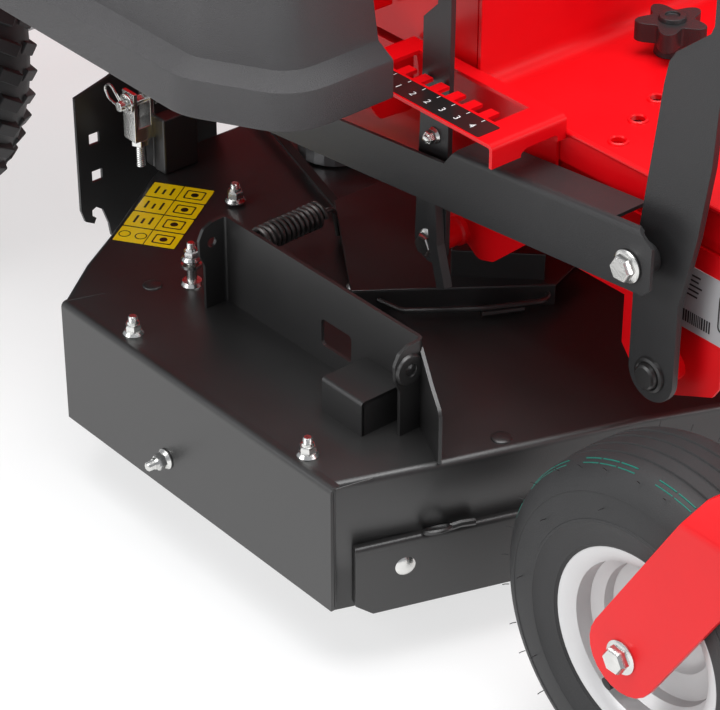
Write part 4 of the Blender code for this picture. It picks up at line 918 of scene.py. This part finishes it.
# ---- drive wheels ---------------------------------------------------------------------------
def drive_wheel(side, suffix):
    """Turf tyre with rows of slanted lugs on a stepped rim."""
    centre, radius, half, bead = Vector((side * WHEEL_X, RY, WHEEL_R)), 0.2226, 0.1080, 0.100
    shoulder = [(bead, half * 0.73), (bead + 0.006, half * 0.84), (bead + 0.020, half * 0.93),
                (bead + 0.021, half * 0.94), (bead + 0.024, half * 0.945), (bead + 0.045, half * 0.985),
                (bead + 0.070, half * 0.985), (bead + 0.092, half * 0.94), (radius - 0.018, half * 0.88),
                (radius - 0.008, half * 0.78), (radius, half * 0.60)]
    profile = shoulder + [(r, -a) for r, a in reversed(shoulder)]
    profile += [(bead + 0.008, -half * 0.55), (radius - 0.02, -half * 0.6), (radius - 0.02, half * 0.6),
                (bead + 0.008, half * 0.55)]
    piece("drive_tyre_" + suffix, lathe(profile, centre, (1, 0, 0), 96), TYRE, "rear_wheel_" + suffix,
          ["rear_tyre_" + suffix])
    lugs = bmesh.new()
    count = 48
    for row, x in enumerate((-0.086, -0.058, -0.029, 0.0, 0.029, 0.058, 0.086)):
        edge = abs(row - 3) / 3
        drop = 0.015 if edge == 1 else 0.0
        for i in range(count):
            a = 2 * math.pi * (i + 0.5 * (row % 2)) / count
            slant = math.radians(34) * (1 if row < 3 else -1 if row > 3 else (1 if i % 2 else -1))
            turn = Matrix.Rotation(a, 4, "X") @ Matrix.Translation((0, 0, radius - drop - 0.004)) \
                @ Matrix.Rotation(slant, 4, "Z")
            if edge == 1:
                turn = turn @ Matrix.Rotation(math.radians(28) * (1 if x > 0 else -1), 4, "Y")
            place = Matrix.Translation(centre + Vector((x, 0, 0))) @ turn
            bottom = [(-0.0140, -0.0070), (0.0140, -0.0070), (0.0140, 0.0070), (-0.0140, 0.0070)]
            low = [lugs.verts.new(place @ Vector((u, v, 0))) for u, v in bottom]
            high = [lugs.verts.new(place @ Vector((u * 0.92, v * 0.84, 0.0100))) for u, v in bottom]
            lugs.faces.new(high)
            for k in range(4):
                lugs.faces.new((low[k], low[(k + 1) % 4], high[(k + 1) % 4], high[k]))
    piece("turf_lugs_" + suffix, lugs, TYRE, "rear_wheel_" + suffix, bevel=0.0009, segments=1)
    hairs = []
    for i in range(60):
        a = 2 * math.pi * i / 60
        out = Vector((0, math.cos(a), math.sin(a)))
        base = centre + out * 0.2180 + Vector((side * 0.093, 0, 0))
        hairs.append(sweep([base, base + out * 0.003 + Vector((side * 0.005, 0, 0))], 0.0004, 4))
    piece("drive_tyre_hairs_" + suffix, gather(*hairs), TYRE, "rear_wheel_" + suffix)
    flange = half * 0.90
    rim = [(bead + 0.0100, flange - 0.004), (bead + 0.0115, flange - 0.001), (bead + 0.0095, flange),
           (bead + 0.002, flange - 0.003), (bead - 0.005, flange - 0.012), (bead - 0.008, flange * 0.60),
           (bead - 0.016, flange * 0.45), (bead - 0.018, 0.020), (0.072, 0.013), (0.040, 0.013),
           (0.036, 0.017), (0.034, 0.060), (0.030, 0.066), (0.013, 0.066), (0.013, -0.060), (0.034, -0.060),
           (0.036, 0.008), (bead - 0.022, 0.008), (bead - 0.020, -flange * 0.45),
           (bead - 0.010, -flange * 0.60), (bead - 0.005, -flange + 0.012), (bead + 0.002, -flange + 0.003),
           (bead + 0.0095, -flange), (bead + 0.0115, -flange + 0.001), (bead - 0.001, -flange + 0.010),
           (bead - 0.001, flange - 0.010)]
    piece("drive_rim_" + suffix, lathe(rim, centre, (side, 0, 0), 84), SILVER, "rear_wheel_" + suffix,
          ["rear_rim_" + suffix])


# ---- bodywork -------------------------------------------------------------------------------
def smoothstep(t):
    t = max(0.0, min(1.0, t))
    return t * t * (3 - 2 * t)


def arch(y):
    """How much the fender's lower edge lifts over the drive wheel."""
    y -= FY
    return 0.086 * smoothstep((y - 0.72) / 0.26) * (1 - 0.65 * smoothstep((y - 1.18) / 0.16))


def fender(side, suffix):
    """Moulded shell swept along the plan outline: skirt, bevelled ledge, wall and crown."""
    inner_front, inner_rear, out = 0.404, 0.300, 0.540
    front, rear = FY + 0.336, FY + 1.340
    plan = fillet([(inner_front, front + 0.002), (out - 0.045, front), (out, front + 0.080),
                   (out, FY + 0.70), (out, RY), (out, rear - 0.045), (out - 0.045, rear),
                   (inner_rear + 0.002, rear)], 0.052, 12)
    dense = []
    for one, two in zip(plan, plan[1:]):
        count = max(1, int((two - one).length / 0.03))
        dense += [one.lerp(two, i / count) for i in range(count)]
    dense.append(plan[-1])
    section = [(0.002, 0.0), (0.0005, 0.0010), (0.0, 0.003), (0.0, 0.0300), (0.0004, 0.0318),
               (0.0018, 0.0330), (0.0150, 0.0405), (0.0164, 0.0417), (0.0170, 0.0440), (0.0200, 0.0600),
               (0.0290, 0.1150), (0.0330, 0.1340), (0.0390, 0.1450), (0.0490, 0.1520), (0.0640, 0.1550)]
    bm = bmesh.new()
    rows = []
    for i, spot in enumerate(dense):
        along = (dense[min(i + 1, len(dense) - 1)] - dense[max(i - 1, 0)]).normalized()
        normal = Vector((along[1], -along[0]))
        lift = arch(spot[1])
        row = []
        for inset, height in section:
            share = min(1.0, height / 0.155)
            place = spot - normal * inset
            z = 0.409 + height + lift * (1 - share * share)
            row.append(bm.verts.new((side * max(place[0], inner_rear), place[1], z)))
        rows.append(row)
    for one, two in zip(rows, rows[1:]):
        for a, b, c, d in zip(one, one[1:], two[1:], two):
            bm.faces.new((a, b, c, d))
    rim = [row[-1] for row in rows]
    corners = [bm.verts.new((side * x, y, 0.564)) for x, y in
               ((inner_rear, rear - 0.066), (inner_rear, FY + 0.56), (inner_front, FY + 0.56),
                (inner_front, front + 0.066))]
    bm.faces.new(rim + corners)
    bmesh.ops.recalc_face_normals(bm, faces=bm.faces)
    shell = piece("fender_shell_" + suffix, bm, GREY, "chassis", ["fender_" + suffix], angle=34)
    solid = shell.modifiers.new("thickness", "SOLIDIFY")
    solid.thickness = 0.0035
    solid.offset = -1
    x = side * (out - 0.0255)
    panel = ring_of([(FY + 0.480, 0.4600), (FY + 0.640, 0.4600), (FY + 0.652, 0.528), (FY + 0.460, 0.528)],
                    0.012)
    middle = Vector((FY + 0.558, 0.494))
    inner = [tuple(middle + (Vector(p) - middle) * 0.93) for p in panel]
    frame_line = prism([panel, inner], "x", -0.0006, 0.0006)
    tilt = Matrix.Translation((x, 0, 0.495)) @ Matrix.Rotation(math.radians(-10.5 * side), 4, "Y") \
        @ Matrix.Translation((0, 0, -0.495))
    frame_line.transform(tilt)
    piece("fender_badge_frame_" + suffix, frame_line, WHITE, "chassis")
    back = prism([inner], "x", -0.0005, 0.0004)
    back.transform(tilt)
    piece("fender_badge_" + suffix, back, PRINT, "chassis")


def rounded(low, high, radius, segments=4):
    """Box with generous rounding, as a bmesh."""
    obj = temporary(block(low, high))
    modifier = obj.modifiers.new("round", "BEVEL")
    modifier.width = radius
    modifier.segments = segments
    bm = evaluated(obj)
    bpy.data.objects.remove(obj)
    return bm


def cushion(name, low, high, radius, node, seams):
    """Foam piece swollen by a short cloth simulation, then stitched."""
    bm = rounded(low, high, radius, 5)
    obj = piece(name, bm, VINYL, "seat", [node])
    remesh = obj.modifiers.new("remesh", "REMESH")
    remesh.mode = "VOXEL"
    remesh.voxel_size = 0.011
    obj.data = finished_mesh(obj)
    obj.modifiers.clear()
    rest = [v.co.copy() for v in obj.data.vertices]
    cloth = obj.modifiers.new("cloth", "CLOTH")
    cloth.settings.quality = 4
    cloth.settings.use_pressure = True
    cloth.settings.uniform_pressure_force = 3.0
    cloth.settings.effector_weights.gravity = 0
    cloth.settings.tension_stiffness = 25
    cloth.settings.compression_stiffness = 25
    cloth.settings.bending_stiffness = 4
    cloth.point_cache.frame_start, cloth.point_cache.frame_end = 1, CLOTH_FRAMES
    for step in range(1, CLOTH_FRAMES + 1):
        bpy.context.scene.frame_set(step)
        bpy.context.view_layer.update()
    swollen = finished_mesh(obj)
    places = [v.co.copy() for v in swollen.vertices]
    obj.modifiers.clear()
    for vertex, before, after in zip(obj.data.vertices, rest, places):
        move = after - before
        vertex.co = before + move * min(1.0, SWELL / max(move.length, 1e-6))
    bpy.context.scene.frame_set(1)
    middle = (Vector(low) + Vector(high)) / 2
    thin = 2 if high[2] - low[2] < high[1] - low[1] else 1
    for vertex in obj.data.vertices:
        for axis, at in seams:
            gap = abs(vertex.co[axis] - at)
            if gap < STITCH_REACH:
                pull = STITCH_PULL * (1 - gap / STITCH_REACH) ** 2
                vertex.co[thin] -= math.copysign(pull, vertex.co[thin] - middle[thin])
    obj.data.shade_smooth()
    smooth = obj.modifiers.new("smooth", "SUBSURF")
    smooth.levels = smooth.render_levels = 1
    return obj


def finished_mesh(obj):
    """New mesh of the object with its modifiers applied."""
    bpy.context.view_layer.update()
    graph = bpy.context.evaluated_depsgraph_get()
    return bpy.data.meshes.new_from_object(obj.evaluated_get(graph))


def seat():
    """Cushion, back and the piping round the cushion's foot."""
    cushion("seat_cushion_cover", (-SEAT_HALF, SEAT_FRONT, 0.5640), (SEAT_HALF, SEAT_REAR, 0.650), 0.034,
            "seat_cushion", ((0, -0.135), (0, 0.135), (1, FY + 0.60)))
    cushion("seat_back_cover", (-SEAT_HALF, FY + 0.868, 0.595), (SEAT_HALF, FY + 0.942, 0.985), 0.030,
            "seat_back", ((0, -0.135), (0, 0.135), (2, 0.76)))
    outline = ring_of([(-SEAT_HALF, SEAT_FRONT), (SEAT_HALF, SEAT_FRONT), (SEAT_HALF, SEAT_REAR),
                       (-SEAT_HALF, SEAT_REAR)], 0.034)
    piece("seat_piping", sweep([(u, v, 0.5735) for u, v in outline], 0.0030, 8, True), MOULD, "seat")


# ---- engine and controls --------------------------------------------------------------------
def engine():
    """Shroud, screen, fins, fittings, muffler and air cleaner round the CAD engine."""
    rings = [lathe([(r, 0.6415), (r + 0.0016, 0.6415), (r + 0.0016, 0.6440), (r, 0.6440)], (0, ENGINE_Y, 0),
                   steps=64)
             for r in [0.018 + 0.0085 * i for i in range(11)]]
    spokes = []
    for i in range(8):
        a = math.pi * i / 4
        spokes.append(sweep([(0.018 * math.cos(a), ENGINE_Y + 0.018 * math.sin(a), 0.6420),
                             (0.108 * math.cos(a), ENGINE_Y + 0.108 * math.sin(a), 0.6405)], 0.0022, 6))
    piece("blower_screen", gather(*rings, *spokes), SCREEN, "chassis")
    housing = [(0, 0.641), (0.060, 0.641), (0.112, 0.6375), (0.118, 0.6385), (0.124, 0.6365),
               (0.146, 0.626), (0.158, 0.612), (0.163, 0.592), (0.1655, 0.540), (0.1675, 0.536),
               (0.1675, 0.526), (0.165, 0.5204), (0, 0.5204)]
    piece("blower_shroud", lathe(housing, (0, ENGINE_Y, 0), steps=72), MOULD, "chassis", ["blower_housing"])
    fins = [block((0.130 + 0.010 * i, ENGINE_Y - 0.056, 0.424),
                  (0.1335 + 0.010 * i, ENGINE_Y + 0.096, 0.5185)) for i in range(9)]
    piece("cylinder_fins", gather(*fins), ALUMINIUM, "chassis", bevel=0.0008, segments=1)
    piece("engine_fittings", gather(
        sweep(fillet([(0.10, ENGINE_Y - 0.145, 0.44), (0.115, ENGINE_Y - 0.165, 0.50),
                      (0.115, ENGINE_Y - 0.170, 0.56)], 0.02), 0.006, 12),
        lathe([(0, 0), (0.011, 0), (0.012, 0.010), (0.009, 0.016), (0, 0.017)],
              (0.115, ENGINE_Y - 0.170, 0.56), steps=24),
        lathe([(0, 0), (0.036, 0), (0.038, 0.004), (0.038, 0.060), (0.034, 0.068), (0, 0.070)],
              (-0.065, ENGINE_Y - 0.138, 0.440), (0, -1, 0), 40)), MOULD, "chassis")
    exhaust = ENGINE_Y + 0.190
    shell = [(0, -0.100), (0.040, -0.100), (0.045, -0.096)]
    for i in range(7):
        x = -0.086 + 0.026 * i
        shell += [(0.0460, x), (0.0475, x + 0.004), (0.0460, x + 0.008)]
    shell += [(0.045, 0.104), (0.040, 0.110), (0, 0.110)]
    piece("muffler_shell", gather(lathe(shell, (0, exhaust, 0.455), (1, 0, 0), 56),
                                  lathe([(0.012, 0), (0.016, 0), (0.016, 0.055), (0.012, 0.055)],
                                        (0.02, ENGINE_Y + 0.125, 0.455), (0, 1, 0),
                                        28)), HEAT, "chassis", ["muffler"])
    cover = rounded((-0.224, ENGINE_Y - 0.099, 0.403), (-0.1260, ENGINE_Y + 0.079, 0.504), 0.020, 5)
    piece("air_cleaner", gather(cover, *[block((-0.2255, ENGINE_Y - 0.080 + 0.020 * i, 0.430),
                                               (-0.2225, ENGINE_Y - 0.072 + 0.020 * i,
                                                0.480)) for i in range(8)]), MOULD, "chassis",
          ["air_cleaner_cover"])


def controls():
    """Knob, tank cap, lever grip, pedal pad, and lap bars with their bolts."""
    x, y = -0.145, FY + 0.307
    star = [(x + (0.0235 + 0.0060 * math.cos(5 * a)) * math.cos(a),
             y + (0.0235 + 0.0060 * math.cos(5 * a)) * math.sin(a))
            for a in [2 * math.pi * i / 70 for i in range(70)]]
    top = prism([star], "z", 0.3880, 0.4040)
    hub = lathe([(0, 0.3755), (0.0135, 0.3755), (0.0115, 0.388), (0.0115, 0.4035), (0.0105, 0.4075),
                 (0.006, 0.4080), (0.0055, 0.4060), (0, 0.4060)], (x, y, 0), steps=32)
    piece("clamp_knob", gather(top, hub), MOULD, "knob", ["star_knob"], bevel=0.0030, segments=3, angle=50)
    cap = [(CAP_X + (0.0400 + 0.0012 * math.cos(20 * a)) * math.cos(a),
            CAP_Y + (0.0400 + 0.0012 * math.cos(20 * a)) * math.sin(a))
           for a in [2 * math.pi * i / 160 for i in range(160)]]
    piece("tank_cap_body", gather(prism([cap], "z", 0.5655, 0.5925),
                                  lathe([(0, 0.5920), (0.036, 0.5920), (0.034, 0.5950), (0, 0.5955)],
                                        (CAP_X, CAP_Y, 0), steps=48)), MOULD, "tank_cap", ["fuel_cap"],
          bevel=0.0012)
    collar = lathe([(0.030, 0.555), (0.050, 0.5605), (0.0485, 0.5643), (0.030, 0.5643)], (CAP_X, CAP_Y, 0),
                   steps=48)
    piece("filler_collar", collar, GREY, "chassis")
    grip = rounded((-0.3450, FY + 0.3465, 0.5345), (-0.3160, FY + 0.3785, 0.6195), 0.0105, 5)
    piece("height_grip", gather(grip, *[lathe([(0.0158, 0), (0.0166, 0.001), (0.0158, 0.002)] ,
                                              (-0.3305, FY + 0.3625, 0.548 + 0.008 * i),
                                              steps=32) for i in range(7)]), MOULD, "lever",
                                              ["height_lever_grip"])
    ribs = [block((-0.2945, FY + 0.0600, 0.552 + 0.009 * i),
                  (-0.2275, FY + 0.0680, 0.5565 + 0.009 * i)) for i in range(7)]
    pad = rounded((-0.296, FY + 0.0655, 0.545), (-0.226, FY + 0.0860, 0.620), 0.006, 3)
    piece("pedal_pad", gather(pad, *ribs), RUBBER, "lift_pedal", ["lift_pedal_pad"], bevel=0.0010)
    for side, suffix in SIDES:
        out, y = side * LAP_X, ARM_Y
        corner, tip = Vector((out, FY + 0.390, 0.945)), Vector((side * 0.045, FY + 0.370, 0.945))
        route = fillet([(out, y, 0.650), (out, y, 0.760), (out, FY + 0.500, 0.930), corner, tip], 0.07, 10)
        piece("lap_tube_" + suffix, sweep(route, 0.0120, 20), CHARCOAL, "bar_" + suffix,
              ["lap_bar_" + suffix])
        along = (tip - corner).normalized()
        start, length = corner.lerp(tip, 0.30), (tip - corner).length * 0.66
        profile = [(0.0122, 0)]
        for i in range(14):
            a = length * (i + 0.15) / 14
            profile += [(0.0175, a), (0.0190, a + length * 0.012), (0.0190, a + length * 0.045),
                        (0.0175, a + length * 0.056)]
        profile += [(0.0165, length), (0.0122, length)]
        piece("foam_grip_" + suffix, lathe(profile, start, along, 32), RUBBER, "bar_" + suffix,
              ["lap_grip_" + suffix])
        piece("arm_bolts_" + suffix, gather(hex_bolt((side * 0.3235, y, 0.602), (side, 0, 0), 0.017),
                                            hex_bolt((side * 0.3235, y, LAP_Z), (-side, 0, 0), 0.013)),
                                            ZINC, "arm_" + suffix)


def guard_details():
    """Bolts along the frame and at the guard's feet, and the panel behind the height lever."""
    parts = []
    for side in (RIGHT, LEFT):
        for z in (0.30, 0.335):
            parts.append(hex_bolt((side * 0.2955, FY + 1.47, z), (side, 0, 0), 0.015))
    for side in (RIGHT, LEFT):
        for y in (0.10, 0.22, 0.52, 0.86):
            parts.append(dome((side * 0.2953, FY + y, 0.300), (side, 0, 0), 0.0075, 0.003))
    piece("frame_bolts", gather(*parts), ZINC, "chassis")
    panel = block((-0.3980, FY + 0.4600, 0.4080), (-0.2990, FY + 0.4630, 0.5200))
    piece("lever_panel", panel, RED, "chassis", bevel=0.0010)


# ---- stage ----------------------------------------------------------------------------------
def area_light(name, place, target, size, power):
    light = bpy.data.lights.new(name, "AREA")
    light.shape = "RECTANGLE"
    light.size, light.size_y = size
    light.energy = power
    obj = bpy.data.objects.new(name, light)
    bpy.context.scene.collection.objects.link(obj)
    obj.location = place
    obj.rotation_euler = (Vector(target) - Vector(place)).to_track_quat("-Z", "Y").to_euler()


def stage():
    """Pale floor, soft boxes and the camera."""
    bm = bmesh.new()
    bmesh.ops.create_grid(bm, x_segments=8, y_segments=8, size=30)
    bm.transform(Matrix.Translation((0, 0, -0.0005)))
    mesh = bpy.data.meshes.new("floor")
    bm.to_mesh(mesh)
    bm.free()
    floor = bpy.data.objects.new("floor", mesh)
    pale = surface("pale_floor", (0.36, 0.36, 0.36), 0.80, mottle=0.01, bump=0.01, specular=0.1)
    glow = pale.node_tree.nodes["Principled BSDF"]
    glow.inputs["Emission Color"].default_value = (1.0, 1.0, 1.0, 1)
    glow.inputs["Emission Strength"].default_value = 0.66
    mesh.materials.append(pale)
    bpy.context.scene.collection.objects.link(floor)
    world = bpy.data.worlds.new("studio")
    world.use_nodes = True
    world.node_tree.nodes["Background"].inputs["Color"].default_value = (0.93, 0.95, 1.0, 1)
    world.node_tree.nodes["Background"].inputs["Strength"].default_value = 0.42
    scene = bpy.context.scene
    scene.world = world
    scene.view_settings.view_transform = "Standard"
    area_light("top_box", (-0.4, -0.4, 3.2), (0, 0, 0), (2.6, 2.6), 104)
    area_light("side_box", (-3.4, 0.6, 1.9), (-0.3, -0.3, 0.2), (2.2, 1.6), 46)
    area_light("front_box", (0.9, -3.6, 1.8), (0, -0.3, 0.3), (2.0, 1.4), 34)
    camera = bpy.data.cameras.new("camera")
    camera.sensor_width = 36
    camera.lens = 137.65
    obj = bpy.data.objects.new("camera", camera)
    scene.collection.objects.link(obj)
    obj.location = (-1.5771, -1.705, 1.3432)
    obj.rotation_euler = (math.radians(57.135), 0, math.radians(-40.15))
    scene.camera = obj


# ---- build ----------------------------------------------------------------------------------
def build():
    recolour(((RED, ("chassis_frame", "lift_pivot_bracket", "seat_base")),
              (BLACK, ("rear_guard_plate", "engine_guard", "idler_arm", "control_arm_right",
                       "control_arm_left", "lift_shaft", "parking_brake_lever", "seat_pan")),
              (MOULD, ("throttle_lever",)),
              (RUBBER, ("deck_belt",)),
              (ALUMINIUM, ("engine_block", "transaxle_right", "transaxle_left")),
              (SPRING, ("spindle_pulley_right", "spindle_pulley_left")),
              (STEEL, ("engine_pulley", "idler_pulley", "blade_right", "blade_left"))))
    deck_shell()
    discharge_cover()
    front_baffle()
    chute_bracket()
    coil_spring()
    rear_hanger()
    deck_label()
    floor_pan()
    height_gate()
    data_plate()
    linkage()
    for side, suffix in SIDES:
        belt_cover(side, suffix)
        caster_fork(side, suffix)
        caster_wheel(side, suffix)
        drive_wheel(side, suffix)
        fender(side, suffix)
    fasteners()
    seat()
    engine()
    controls()
    guard_details()
    stage()


build()
